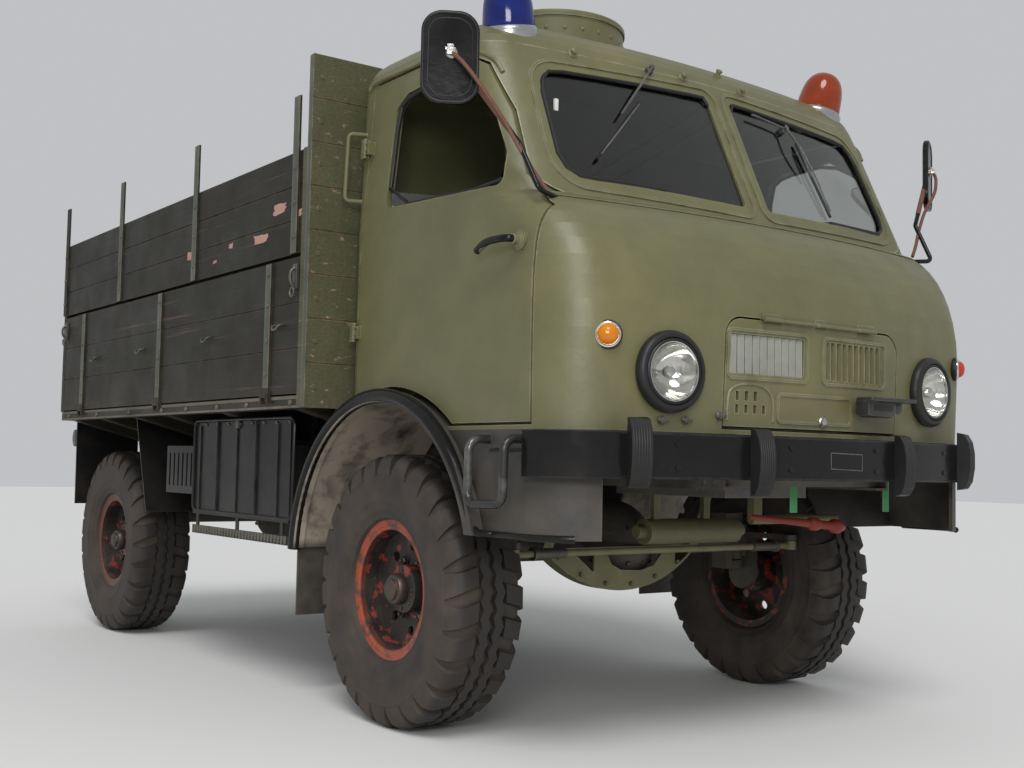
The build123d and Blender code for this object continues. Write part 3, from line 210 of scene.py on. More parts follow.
paint_coat, place, given, leave = new_group("paint_coat", [
    ("Paint", COLOUR, (0.2, 0.2, 0.1, 1)), ("Patch", COLOUR, (0.3, 0.28, 0.1, 1)),
    ("Patch Size", NUMBER, 1.2), ("Patch Amount", NUMBER, 0.3), ("Gloss Low", NUMBER, 0.32),
    ("Gloss High", NUMBER, 0.6)], [("Color", COLOUR), ("Roughness", NUMBER), ("Height", NUMBER)])
patches = multiply(paint_coat, noise_mask(paint_coat, place, given["Patch Size"], 0.52, 0.72),
                   given["Patch Amount"])
brushed = mix_colour(paint_coat, patches, given["Paint"], given["Patch"])
mottle = ranged(paint_coat, noise_mask(paint_coat, place, 7.0, 0.25, 0.8), to_low=0.86, to_high=1.12)
gloss = ranged(paint_coat, noise_mask(paint_coat, place, 4.5, 0.3, 0.75), to_low=given["Gloss Low"],
               to_high=given["Gloss High"])
connect(paint_coat, leave, Color=scaled(paint_coat, brushed, mottle), Roughness=gloss,
        Height=noise_mask(paint_coat, place, 38.0, 0.2, 0.8, 3))

road_dirt, place, given, leave = new_group("road_dirt", [
    ("Color", COLOUR, (0.2, 0.2, 0.1, 1)), ("Dirt", COLOUR, (0.16, 0.13, 0.10, 1)), ("Low", NUMBER, 0.3),
    ("High", NUMBER, 1.2), ("Amount", NUMBER, 0.6)], [("Color", COLOUR), ("Mask", NUMBER)])
rise = ranged(road_dirt, split(road_dirt, place)["Z"], given["Low"], given["High"], 1, 0)
splash = multiply(road_dirt, rise, noise_mask(road_dirt, place, 6.0, 0.3, 0.62, 8))
facing = road_dirt.nodes.new("ShaderNodeNewGeometry").outputs["Normal"]
settled = ranged(road_dirt, split(road_dirt, facing)["Z"], 0.5, 1, 0, 0.45)
dust = multiply(road_dirt, settled, noise_mask(road_dirt, place, 3.0, 0.3, 0.7))
covered = multiply(road_dirt, reckoned(road_dirt, "MAXIMUM", splash, dust), given["Amount"])
connect(road_dirt, leave, Color=mix_colour(road_dirt, covered, given["Color"], given["Dirt"]), Mask=covered)

edge_wear, place, given, leave = new_group("edge_wear", [
    ("Color", COLOUR, (0.2, 0.2, 0.1, 1)), ("Bare", COLOUR, (0.4, 0.38, 0.3, 1)), ("Amount", NUMBER, 0.6),
    ("Chips", NUMBER, 0.3)], [("Color", COLOUR)])
softened = added(edge_wear, "ShaderNodeBevel", Radius=0.006)
softened.samples = 4
facing = edge_wear.nodes.new("ShaderNodeNewGeometry").outputs["Normal"]
edge = ranged(edge_wear, compared(edge_wear, "DOT_PRODUCT", softened.outputs["Normal"], facing), 0.97, 0.80)
scuffed = multiply(edge_wear, edge, noise_mask(edge_wear, place, 14.0, 0.35, 0.6))
chipped = multiply(edge_wear, noise_mask(edge_wear, place, 26.0, 0.70, 0.73, 7), given["Chips"])
bared = reckoned(edge_wear, "MAXIMUM", multiply(edge_wear, scuffed, given["Amount"]), chipped)
connect(edge_wear, leave, Color=mix_colour(edge_wear, bared, given["Color"], given["Bare"]))


def group_node(tree, group, **inputs):
    """A shader group placed in a material, its inputs fed."""
    node = tree.nodes.new("ShaderNodeGroup")
    node.node_tree = group
    return connect(tree, node, **inputs)


def embossed(tree, height, strength, distance):
    """Raises the surface by a height signal."""
    relief = added(tree, "ShaderNodeBump", Height=height, Strength=strength, Distance=distance)
    connect(tree, tree.nodes["Principled BSDF"], Normal=relief.outputs["Normal"])


def painted(name, paint, patch, patch_size=1.2, patch_amount=0.3, gloss=(0.32, 0.6), wear=0.5, chips=0.2,
            bare=(0.42, 0.40, 0.32, 1), dirt=(0.17, 0.14, 0.11, 1), dirt_low=0.3, dirt_high=1.3,
            dirt_amount=0.5, bump=0.12, metallic=0.0, shine=0.5):
    """Paint on sheet metal or wood: coat, rubbed edges and chips, then dirt, in that order."""
    finish, tree, surface = new_finish(name)
    coat = group_node(tree, paint_coat, Paint=(*paint, 1), Patch=(*patch, 1), Patch_Size=patch_size,
                      Patch_Amount=patch_amount, Gloss_Low=gloss[0], Gloss_High=gloss[1]).outputs
    worn = group_node(tree, edge_wear, Color=coat["Color"], Bare=bare, Amount=wear, Chips=chips).outputs
    dirtied = group_node(tree, road_dirt, Color=worn["Color"], Dirt=dirt, Low=dirt_low, High=dirt_high,
                         Amount=dirt_amount).outputs
    dulled = reckoned(tree, "MULTIPLY_ADD", dirtied["Mask"], 0.5, coat["Roughness"])
    dulled.node.use_clamp = True
    connect(tree, surface, Base_Color=dirtied["Color"], Roughness=dulled, Metallic=metallic,
            Specular_IOR_Level=shine)
    embossed(tree, coat["Height"], bump, 0.004)
    return finish


def dress(names, finish):
    """Gives CAD nodes their material."""
    for name in names.split():
        for material_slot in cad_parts[name].material_slots:
            material_slot.material = finish


chassis_finish = painted("muddy_chassis", (0.045, 0.045, 0.04), (0.09, 0.07, 0.05), 5.0, 0.6, (0.5, 0.8),
                         chips=0.35, bare=(0.20, 0.10, 0.05, 1), dirt_low=0.1, dirt_high=1.4,
                         dirt_amount=0.8, bump=0.5)
dress("backbone_tube front_axle rear_axle knuckle_right knuckle_left tie_rod tow_hitch body_frame",
      chassis_finish)
iron_finish = painted("oily_iron", (0.09, 0.09, 0.085), (0.05, 0.04, 0.035), 6.0, 0.7, (0.4, 0.7),
                      dirt_high=1.8, bump=0.6)
dress("engine_block", iron_finish)

# The guard below the front final drive is a windowed olive plate with a folded flange, scraped along
# its lower edge. It is bolted through its flange, and its bolt heads come by the ring.
guard_finish = painted("guard_olive", (0.15, 0.15, 0.06), (0.22, 0.18, 0.08), 7.0, 0.6, (0.35, 0.6),
                       wear=0.8, chips=0.6, dirt_low=0.2, dirt_high=0.9, dirt_amount=0.5, bump=0.3)
dress("axle_guard", guard_finish)
front_axle_x = 1.124


def truck(x, y, z):
    """A place given from the front axle, on the centre line, at the ground."""
    return Vector((x + front_axle_x, y, z))


def geometry_tree(name, inputs):
    """An empty Geometry Nodes tree, with what it is given and where it leaves."""
    tree = bpy.data.node_groups.new(name, "GeometryNodeTree")
    for socket, kind in [("Geometry", "Geometry"), *inputs, ("Finish", "Material")]:
        tree.interface.new_socket(socket, in_out="INPUT", socket_type="NodeSocket" + kind)
    tree.interface.new_socket("Geometry", in_out="OUTPUT", socket_type="NodeSocketGeometry")
    return tree, tree.nodes.new("NodeGroupInput").outputs, tree.nodes.new("NodeGroupOutput")


def end_tree(tree, given, leave, copies):
    """Makes the copies real and gives them the finish."""
    real = added(tree, "GeometryNodeRealizeInstances", Geometry=copies.outputs["Instances"])
    finished = added(tree, "GeometryNodeSetMaterial", Geometry=real.outputs["Geometry"],
                     Material=given["Finish"])
    connect(tree, leave, Geometry=finished.outputs["Geometry"])


# A ring of copies about an axis through a centre.
ring_tree, given, leave = geometry_tree("ring_of_copies", [
    ("Count", "Int"), ("Centre", "Vector"), ("Axis", "Vector")])
centred = added(ring_tree, "GeometryNodeTransform", Geometry=given["Geometry"],
                Translation=scaled(ring_tree, given["Centre"], -1))
spots = added(ring_tree, "GeometryNodePoints", Count=given["Count"], Position=given["Centre"])
share = reckoned(ring_tree, "DIVIDE", 2 * math.pi, given["Count"])
index = ring_tree.nodes.new("GeometryNodeInputIndex").outputs["Index"]
turn = added(ring_tree, "FunctionNodeAxisAngleToRotation", Axis=given["Axis"],
             Angle=multiply(ring_tree, index, share))
copies = added(ring_tree, "GeometryNodeInstanceOnPoints", Points=spots.outputs["Points"],
               Instance=centred.outputs["Geometry"], Rotation=turn.outputs["Rotation"])
end_tree(ring_tree, given, leave, copies)

# Bolt heads on points, each turned to the direction that its point carries.
head_tree, given, leave = geometry_tree("bolt_heads", [
    ("Head Radius", "Float"), ("Head Height", "Float"), ("Sides", "Int")])
head = added(head_tree, "GeometryNodeMeshCone", Vertices=given["Sides"], Depth=given["Head Height"],
             Radius_Bottom=given["Head Radius"], Radius_Top=multiply(head_tree, given["Head Radius"], 0.82))
carried = added(head_tree, "GeometryNodeInputNamedAttribute", Name="out")
carried.data_type = "FLOAT_VECTOR"
stand = added(head_tree, "FunctionNodeAlignRotationToVector", Vector=carried.outputs["Attribute"])
stand.axis = "Z"
copies = added(head_tree, "GeometryNodeInstanceOnPoints", Points=given["Geometry"],
               Instance=head.outputs["Mesh"], Rotation=stand.outputs["Rotation"])
end_tree(head_tree, given, leave, copies)

# Copies in a straight row.
row_tree, given, leave = geometry_tree("row_of_copies", [("Count", "Int"), ("Step", "Vector")])
line = added(row_tree, "GeometryNodeMeshLine", Count=given["Count"], Offset=given["Step"])
copies = added(row_tree, "GeometryNodeInstanceOnPoints", Points=line.outputs["Mesh"],
               Instance=given["Geometry"])
end_tree(row_tree, given, leave, copies)


def shade(mesh, degrees=35):
    """Smooth faces with sharp edges where they meet at more than an angle."""
    build = bmesh.new()
    build.from_mesh(mesh)
    for face in build.faces:
        face.smooth = True
    limit = math.radians(degrees)
    for fold in build.edges:
        fold.smooth = len(fold.link_faces) == 2 and fold.calc_face_angle(0) < limit
    build.to_mesh(mesh)
    build.free()


def new_object(name, build, outward=True):
    """An object at the origin made from a bmesh, its faces turned outwards."""
    if outward and build.faces:
        bmesh.ops.recalc_face_normals(build, faces=build.faces[:])
    made = bpy.data.objects.new(name, bpy.data.meshes.new(name))
    build.to_mesh(made.data)
    build.free()
    bpy.context.scene.collection.objects.link(made)
    return made


def as_modified(made):
    """A plain mesh of an object, its modifiers worked in."""
    return bpy.data.meshes.new_from_object(made.evaluated_get(bpy.context.evaluated_depsgraph_get()))


def fit(name, build, finish, body, degrees=35, outward=True):
    """Turns a bmesh into a finished piece that rides on a body."""
    made = new_object(name, build, outward)
    made.data.materials.append(finish)
    shade(made.data, degrees)
    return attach(made, body)


def repeat(name, build, tree, values, finish, body, degrees=35):
    """Runs a Geometry Nodes tree on a bmesh, and keeps the result as one plain mesh."""
    made = new_object(name, build)
    modifier = made.modifiers.new("copies", "NODES")
    modifier.node_group = tree
    values = {**values, "Finish": finish}
    for item in tree.interface.items_tree:
        if item.in_out == "INPUT" and item.name in values:
            modifier[item.identifier] = values[item.name]
    bpy.context.view_layer.update()
    plain = as_modified(made)
    made.modifiers.remove(modifier)
    made.data = plain
    plain.name = name
    shade(plain, degrees)
    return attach(made, body)


def bolts(name, places, radius, height, finish, body, sides=6):
    """Bolt heads at (point, direction) places."""
    build = bmesh.new()
    out = build.verts.layers.float_vector.new("out")
    for point, direction in places:
        spot = build.verts.new(point)
        spot[out] = Vector(direction).normalized()
    return repeat(name, build, head_tree, {"Head Radius": radius, "Head Height": height, "Sides": sides},
                  finish, body)


def square_to(direction):
    """Two directions at right angles to one another and to a third."""
    along = Vector(direction).normalized()
    first = along.orthogonal().normalized()
    return along, first, along.cross(first)


def around(count, first=0):
    """Angles spread evenly over a full turn."""
    return [2 * math.pi * (i + first) / count for i in range(count)]


def turned(build, centre, direction, profile, sides=32):
    """A turned form: (distance along, radius) steps about an axis."""
    along, first, second = square_to(direction)
    centre = Vector(centre)
    rings = []
    for reach, radius in profile:
        middle = centre + along * reach
        if radius < 1e-6:
            rings.append([build.verts.new(middle)])
        else:
            rings.append([build.verts.new(middle + radius * (math.cos(t) * first + math.sin(t) * second))
                          for t in around(sides)])
    for near, far in zip(rings, rings[1:]):
        for i in range(sides):
            corners = [near[i % len(near)], near[(i + 1) % len(near)], far[(i + 1) % len(far)],
                       far[i % len(far)]]
            unique = list(dict.fromkeys(corners))
            if len(unique) > 2:
                build.faces.new(unique)
    return build


def bent(build, points, radius, sides=10, closed=False):
    """A round bar along points, its corners rounded off by the points given."""
    points = [Vector(point) for point in points]
    count = len(points)
    rings = []
    side = None
    for i, point in enumerate(points):
        before = points[i - 1] if i or closed else point
        after = points[(i + 1) % count] if i < count - 1 or closed else point
        along = (after - before).normalized()
        if side is None:
            side = along.orthogonal().normalized()
        side = (side - along * side.dot(along)).normalized()
        other = along.cross(side)
        rings.append([build.verts.new(point + radius * (math.cos(t) * side + math.sin(t) * other))
                      for t in around(sides)])
    for near, far in zip(rings, rings[1:]):
        for k in range(sides):
            build.faces.new((near[k], near[(k + 1) % sides], far[(k + 1) % sides], far[k]))
    if closed:
        last, start = rings[-1], rings[0]
        shift = min(range(sides), key=lambda n: (last[0].co - start[n].co).length)
        for k in range(sides):
            build.faces.new((last[k], last[(k + 1) % sides], start[(k + 1 + shift) % sides],
                            start[(k + shift) % sides]))
    else:
        build.faces.new(rings[0][::-1])
        build.faces.new(rings[-1])
    return build


def curved(points, steps=6):
    """Points on a smooth line through the given ones."""
    points = [Vector(point) for point in points]
    ends = [2 * points[0] - points[1]] + points + [2 * points[-1] - points[-2]]
    line_points = []
    for i in range(1, len(ends) - 2):
        a, b, c, d = ends[i - 1:i + 3]
        for k in range(steps):
            t = k / steps
            line_points.append(0.5 * (2 * b + (c - a) * t + (2 * a - 5 * b + 4 * c - d) * t * t
                                      + (3 * b - a - 3 * c + d) * t ** 3))
    return line_points + [points[-1]]


def slab(build, low, high, bevel=0.002, turn=None):
    """A bevelled block between two corners, turned about its middle if asked."""
    made = bmesh.ops.create_cube(build, size=1)["verts"]
    middle = (Vector(low) + Vector(high)) / 2
    spread = Vector([abs(gap) for gap in Vector(high) - Vector(low)])
    for corner in made:
        point = Vector((corner.co.x * spread.x, corner.co.y * spread.y, corner.co.z * spread.z))
        corner.co = (turn @ point if turn else point) + middle
    edges = list({fold for corner in made for fold in corner.link_edges})
    if bevel:
        bmesh.ops.bevel(build, geom=edges, offset=bevel, segments=2, affect="EDGES", profile=0.6)
    return build


def block(build, middle, half_sizes, bevel, turn=None):
    """A bevelled block about its middle."""
    slab(build, middle - Vector(half_sizes), middle + Vector(half_sizes), bevel, turn)


arc_centre, arc_radius = truck(0.182, -0.084, 0.931), 0.488
guard_bolts = []
for degree in (-38, -24, -10, 4, 18, 32):
    turned_out = Vector((0, math.sin(math.radians(degree)), -math.cos(math.radians(degree))))
    guard_bolts.append((arc_centre + turned_out * arc_radius + Vector((0.003, 0, 0)), (1, 0, 0)))
bolt_finish = painted("dull_bolt", (0.10, 0.095, 0.08), (0.14, 0.10, 0.06), 20.0, 0.7, (0.3, 0.6),
                      chips=0.5, bare=(0.4, 0.38, 0.33, 1), dirt_high=1.2, bump=0.2, metallic=0.6)
bolts("guard_bolts", guard_bolts, 0.009, 0.008, bolt_finish, "chassis")

# The tie rod is a drawn bar in olive tan with a turned adjusting sleeve and lock nuts near each end.
# The steering cylinder behind it is painted olive, and its drag link is red.
rod_finish = painted("rod_tan", (0.19, 0.18, 0.09), (0.12, 0.10, 0.06), 9.0, 0.6, (0.4, 0.65), chips=0.4,
                     dirt_high=0.9)
dress("tie_rod", rod_finish)
gear_finish = painted("gear_olive", (0.12, 0.115, 0.05), (0.06, 0.05, 0.035), 6.0, 0.7, (0.4, 0.6),
                      chips=0.3, dirt_high=0.8)
dress("steering_gear", gear_finish)
sleeves = bmesh.new()
for side in (-1, 1):
    turned(sleeves, truck(0.3, side * 0.52, 0.572), (0, side, 0), [
        (-0.07, 0.0122), (-0.07, 0.018), (0.05, 0.018), (0.052, 0.023), (0.066, 0.023), (0.066, 0.0122)],
        20)
fit("tie_rod_sleeves", sleeves, bolt_finish, "tie_rod")
red_finish = painted("link_red", (0.20, 0.020, 0.012), (0.10, 0.02, 0.012), 8.0, 0.6, (0.4, 0.6), chips=0.3,
                     dirt_amount=0.15, shine=0.3)
link = bmesh.new()
turned(link, truck(0.75, -0.045, 0.708), (0, 0.9965, -0.084), [
    (0, 0), (0, 0.006), (0.02, 0.009), (0.29, 0.014), (0.295, 0.021), (0.30, 0.0225), (0.325, 0.0225),
    (0.33, 0.021), (0.335, 0.015), (0.395, 0.015), (0.41, 0.023), (0.415, 0.0252), (0.435, 0.0252),
    (0.44, 0.023), (0.465, 0.012), (0.465, 0)], 20)
fit("drag_link", link, red_finish, "chassis")
green_finish = painted("strap_green", (0.02, 0.22, 0.06), (0.02, 0.12, 0.04), 9.0, 0.5, (0.5, 0.7),
                       dirt_amount=0.2)
straps = bmesh.new()
for y in (-0.011, 0.451):
    slab(straps, truck(0.90, y - 0.016, 0.728), truck(0.904, y + 0.016, 0.842), 0.001)
fit("green_straps", straps, green_finish, "chassis")
wheelbase = 2.7
drive_radius, drive_height, drive_half_gap = 0.1635, 0.575, 0.06
slope = 0.93  # The bolts lean outwards and up or down, square to the round housing.
bolts("final_drive_bolts", [
    (truck(x + drive_radius * slope * math.cos(t), drive_radius * slope * math.sin(t),
           drive_height + side * drive_half_gap),
     (math.cos(t) * slope, math.sin(t) * slope, side * 0.37))
    for x in (0, -wheelbase) for side in (-1, 1) for t in around(14, 0.5)],
    0.010, 0.010, bolt_finish, "chassis")

# The wheels are pressed steel: a scuffed orange red flange, a blackened dish with red patches, a
# clamped lock ring and a hub held by nuts. The dish is coloured by its distance from the axle. The
# rear wheels' flange is a darker red brown: painted shade for the shadow they stand in.
axle_height = 0.445
half_track = 0.84
both_sides = (("right", -1), ("left", 1))


def from_axle(tree, place, axle_x):
    """How far a point is from an axle's line."""
    middle = added(tree, "ShaderNodeCombineXYZ", X=axle_x, Y=split(tree, place)["Y"], Z=axle_height)
    return compared(tree, "DISTANCE", place, middle.outputs["Vector"])


wheel_paint, place, given, leave = new_group("wheel_paint", [
    ("Axle X", NUMBER, front_axle_x), ("Flange", COLOUR, (0.34, 0.052, 0.016, 1)),
    ("Dish", COLOUR, (0.012, 0.011, 0.010, 1)), ("Patch", COLOUR, (0.24, 0.026, 0.018, 1))],
    [("Color", COLOUR), ("Roughness", NUMBER), ("Height", NUMBER)])
flange_band = ranged(wheel_paint, from_axle(wheel_paint, place, given["Axle X"]), 0.194, 0.201)
sideways = reckoned(wheel_paint, "ABSOLUTE", split(wheel_paint, place)["Y"])
face_band = ranged(wheel_paint, sideways, 0.916, 0.924)
worn_flange = mix_colour(wheel_paint, noise_mask(wheel_paint, place, 16.0, 0.50, 0.60, 6), given["Flange"],
                         (0.09, 0.035, 0.025, 1))
spotted_dish = mix_colour(wheel_paint, noise_mask(wheel_paint, place, 22.0, 0.56, 0.60, 5), given["Dish"],
                          given["Patch"])
both_bands = multiply(wheel_paint, flange_band, face_band)
scuff = ranged(wheel_paint, noise_mask(wheel_paint, place, 12.0, 0.3, 0.7), 0, 1, 0.3, 0.65)
connect(wheel_paint, leave, Color=mix_colour(wheel_paint, both_bands, spotted_dish, worn_flange),
        Roughness=scuff, Height=noise_mask(wheel_paint, place, 60.0, 0.3, 0.7))


def wheel_finish(name, axle_x, flange):
    """Wheel paint centred on its own axle, under a little dirt."""
    finish, tree, surface = new_finish(name)
    coat = group_node(tree, wheel_paint, Axle_X=axle_x, Flange=flange).outputs
    dirtied = group_node(tree, road_dirt, Color=coat["Color"], Dirt=(0.14, 0.11, 0.085, 1), Low=0.1,
                         High=0.9, Amount=0.3).outputs
    connect(tree, surface, Base_Color=dirtied["Color"], Roughness=coat["Roughness"])
    embossed(tree, coat["Height"], 0.3, 0.003)
    return finish


front_wheel = wheel_finish("front_wheel_paint", front_axle_x, (0.34, 0.052, 0.016, 1))
# Painted shade: the rear flange is darkened because the rear wheels stand in shadow.
shaded_rear_wheel = wheel_finish("rear_wheel_paint_and_shade", front_axle_x - wheelbase, (0.12, 0.036, 0.020, 1))
dress("rim_front_right rim_front_left", front_wheel)
dress("rim_rear_right rim_rear_left", shaded_rear_wheel)
nut_finish = painted("wheel_nut", (0.05, 0.045, 0.04), (0.20, 0.04, 0.025), 25.0, 0.8, (0.3, 0.5),
                     chips=0.5, bare=(0.35, 0.33, 0.30, 1), dirt_high=0.9, metallic=0.7)

# Each tyre is a cross-ply with bar lugs that run over the shoulder, two zigzag ribs round the tread
# and raised rings on the wall. It is moulded rubber, dusty in its grooves, and replaces the CAD tyre.
tread, place, given, leave = new_group("tread_dust", [
    ("Axle X", NUMBER, front_axle_x), ("Rubber", COLOUR, (0.022, 0.019, 0.017, 1)),
    ("Dust", COLOUR, (0.092, 0.071, 0.056, 1)), ("Amount", NUMBER, 0.75)],
    [("Color", COLOUR), ("Roughness", NUMBER), ("Height", NUMBER)])
groove = ranged(tread, from_axle(tread, place, given["Axle X"]), 0.441, 0.425, 0.15, 1)
settled = multiply(tread, groove, noise_mask(tread, place, 7.0, 0.3, 0.7, 8))
dusty = multiply(tread, settled, given["Amount"])
connect(tread, leave, Color=mix_colour(tread, dusty, given["Rubber"], given["Dust"]),
        Roughness=ranged(tread, dusty, 0, 1, 0.55, 0.9), Height=noise_mask(tread, place, 90.0, 0.2, 0.8))


def tyre_material(name, axle_x):
    """Tyre rubber, its dust centred on its own axle."""
    finish, tree, surface = new_finish(name)
    dusted = group_node(tree, tread, Axle_X=axle_x).outputs
    connect(tree, surface, Base_Color=dusted["Color"], Roughness=dusted["Roughness"],
            Specular_IOR_Level=0.35)
    embossed(tree, dusted["Height"], 0.2, 0.002)
    return finish


tyre_radius, lug_foot_radius, shoulder_across = 0.445, 0.428, 0.135
lug_count, lug_half_width, lug_taper, lug_lean, zigzag = 26, 0.0335, 0.005, 0.28, 0.0055
# The wall from bead to bead, as (distance across, radius) from the wheel's middle.
tyre_wall = [
    (0.0895, 0.2045), (0.0895, 0.2235), (0.105, 0.2290), (0.112, 0.2330), (0.1165, 0.2345),
    (0.1200, 0.2420), (0.1245, 0.2520), (0.1285, 0.2560), (0.1310, 0.2620), (0.1345, 0.2740),
    (0.1372, 0.2860), (0.1392, 0.2900), (0.1396, 0.2960), (0.1386, 0.3000), (0.1392, 0.3300),
    (0.1398, 0.3500), (0.1385, 0.3660), (0.1398, 0.3690), (0.1392, 0.3730), (0.1350, 0.3780),
    (0.1280, 0.3960), (0.1180, 0.4110), (0.1030, 0.4205), (0.0900, 0.4245), (0.0500, 0.4255),
    (0.0200, 0.4270)]
rib_section = [
    (0.0075, 0.423), (0.0095, tyre_radius - 0.0005), (0.0400, tyre_radius - 0.0005), (0.0420, 0.423)]
lug_section = [
    (0.0490, 0.423), (0.0510, 0.4440), (0.0800, 0.4445), (0.1010, 0.4440), (0.1150, 0.4365),
    (0.1262, 0.4260), (0.1358, 0.4000), (0.1390, 0.3760), (0.1340, 0.3730), (0.1120, 0.4000)]
lock_ring = [
    (0.0900, 0.2190), (0.0925, 0.2290), (0.0960, 0.2345), (0.1005, 0.2355), (0.1035, 0.2330),
    (0.1040, 0.2270), (0.1015, 0.2225), (0.1020, 0.2110), (0.0985, 0.2070), (0.0960, 0.1975),
    (0.0900, 0.1960), (0.0900, 0.2190)]
hub_cap = [
    (0.060, 0), (0.060, 0.050), (0.066, 0.052), (0.086, 0.050), (0.092, 0.046), (0.094, 0.037),
    (0.103, 0.035), (0.107, 0.029), (0.108, 0)]


def wheel_point(centre, across_by, radius, angle_at):
    return centre + Vector((radius * math.cos(angle_at), across_by, radius * math.sin(angle_at)))


def joined_up(build):
    """Closes the seams of turned forms whose line ends where it starts."""
    bmesh.ops.remove_doubles(build, verts=build.verts[:], dist=1e-5)


for end, axle_x in (("front", 0.0), ("rear", -wheelbase)):
    tyre_rubber = tyre_material("tyre_rubber_" + end, axle_x + front_axle_x)
    for side_name, side in both_sides:
        corner = "%s_%s" % (end, side_name)
        wheel = "wheel_" + corner
        centre = truck(axle_x, side * half_track, axle_height)
        around_axle = {"Centre": centre, "Axis": (0.0, 1.0, 0.0)}
        carcass = bmesh.new()
        turned(carcass, centre, (0, 1, 0), tyre_wall + [(-a, r) for a, r in reversed(tyre_wall)]
               + [(-0.06, 0.2045), (0.06, 0.2045), tyre_wall[0]], 96)
        joined_up(carcass)
        body = fit("tyre_carcass_" + corner, carcass, tyre_rubber, wheel, 40)
        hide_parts("tyre_" + corner)
        ribs = bmesh.new()
        for rib in (-1, 1):
            loops = []
            for j, t in enumerate(around(4 * lug_count)):
                zig = zigzag if j % 2 else -zigzag
                loops.append([ribs.verts.new(wheel_point(centre, rib * across_by + zig, radius, t))
                              for across_by, radius in rib_section])
            for near, far in zip(loops, loops[1:] + loops[:1]):
                for k in range(4):
                    ribs.faces.new((near[k], near[(k + 1) % 4], far[(k + 1) % 4], far[k]))
        fit("tyre_ribs_" + corner, ribs, tyre_rubber, wheel, 30)
        for face_side in (-1, 1):
            lug = bmesh.new()
            outer_side = face_side == side
            start = (0.5 if outer_side else 1.0) * 2 * math.pi / lug_count
            ends = []
            for edge_side in (-1, 1):
                ends.append([])
                for across_by, radius in lug_section:
                    lean = (shoulder_across - across_by) * lug_lean
                    height_share = (radius - lug_foot_radius) / (tyre_radius - lug_foot_radius)
                    half_width = lug_half_width - lug_taper * height_share
                    t = start + (edge_side * half_width + lean) / tyre_radius
                    ends[-1].append(lug.verts.new(wheel_point(centre, face_side * across_by, radius, t)))
            count = len(lug_section)
            for k in range(count):
                lug.faces.new((ends[0][k], ends[0][(k + 1) % count], ends[1][(k + 1) % count], ends[1][k]))
            lug.faces.new(ends[0])
            lug.faces.new(ends[1][::-1])
            repeat("tyre_lugs_%s_%s" % (corner, "outer" if outer_side else "inner"), lug, ring_tree,
                   {"Count": lug_count, **around_axle}, tyre_rubber, wheel, 30)
        ring = bmesh.new()
        turned(ring, centre, (0, side, 0), lock_ring, 72)
        joined_up(ring)
        fit("lock_ring_" + corner, ring, front_wheel if end == "front" else shaded_rear_wheel, wheel)
        nut = bmesh.new()
        spot = centre + Vector((0.102, side * 0.008, 0))
        turned(nut, spot, (0, side, 0), [(0, 0), (0, 0.017), (0.004, 0.017), (0.004, 0)], 20)
        turned(nut, spot, (0, side, 0), [
            (0.003, 0), (0.003, 0.0135), (0.016, 0.0135), (0.019, 0.011), (0.019, 0)], 6)
        turned(nut, spot, (0, side, 0), [
            (0.018, 0), (0.018, 0.007), (0.027, 0.007), (0.029, 0.005), (0.029, 0)], 12)
        repeat("wheel_nuts_" + corner, nut, ring_tree, {"Count": 6, **around_axle}, nut_finish, wheel)
        cap = bmesh.new()
        turned(cap, centre, (0, side, 0), hub_cap, 32)
        fit("hub_cap_" + corner, cap, nut_finish, wheel)
        hub_places = [(wheel_point(centre, side * 0.053, 0.063, t), (0, side, 0)) for t in around(8)]
        bolts("hub_bolts_" + corner, hub_places, 0.0065, 0.007, nut_finish, wheel)

# The body frame's channel rails carry the engine, a plain cast block. Bolt heads show where the
# cross members are joined to the rails.
rail_face_y = 0.385
cross_member_x = (0.9, -0.65, -1.5, -2.45, -3.12)
bolts("frame_bolts", [
    (truck(x + dx, side * rail_face_y, z), (0, side, 0)) for x in cross_member_x
    for dx in (-0.02, 0.02) for z in (0.825, 0.855) for side in (-1, 1)], 0.009, 0.007, bolt_finish,
    "chassis")

# The cab is pressed steel sheet, brushed with semi-gloss olive that has yellowed in patches and is
# rubbed pale along its edges. Its floor, engine cover and inner side are a darker, duller olive:
# painted shade for the dim inside of the cab.
olive_finish = painted("olive_cab", (0.118, 0.115, 0.050), (0.170, 0.150, 0.054), 1.6, 0.55, (0.34, 0.50),
                       wear=0.55, chips=0.10, bare=(0.45, 0.43, 0.33, 1), dirt_low=0.6, dirt_high=1.3,
                       dirt_amount=0.3, bump=0.10)
dress("cab_front cab_rear cab_roof door_right door_left grille_flap hatch_lid", olive_finish)
# Painted shade: the inside olive is darkened for the dim inside of the cab.
inside_shaded_finish = painted("olive_inside_shaded", (0.09, 0.095, 0.045), (0.07, 0.07, 0.04), 3.0, 0.4, (0.5, 0.7))
dress("cab_floor engine_cover", inside_shaded_finish)
black_finish = painted("black_enamel", (0.0055, 0.0055, 0.006), (0.013, 0.012, 0.011), 4.0, 0.5,
                       (0.10, 0.32), wear=0.35, chips=0.12, bare=(0.12, 0.12, 0.11, 1), dirt_low=0.5,
                       dirt_high=1.1, dirt_amount=0.06, shine=0.22)


def solid_tree(*names):
    """The CAD nodes' surfaces, to set pieces down on them."""
    corners, faces = [], []
    for name in names:
        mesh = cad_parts[name].data
        start = len(corners)
        corners += [vertex.co.copy() for vertex in mesh.vertices]
        faces += [[start + i for i in face.vertices] for face in mesh.polygons]
    return BVHTree.FromPolygons(corners, faces)


cab_skin = solid_tree("cab_front", "cab_roof", "grille_flap", "cab_glass", "door_right", "cab_rear")


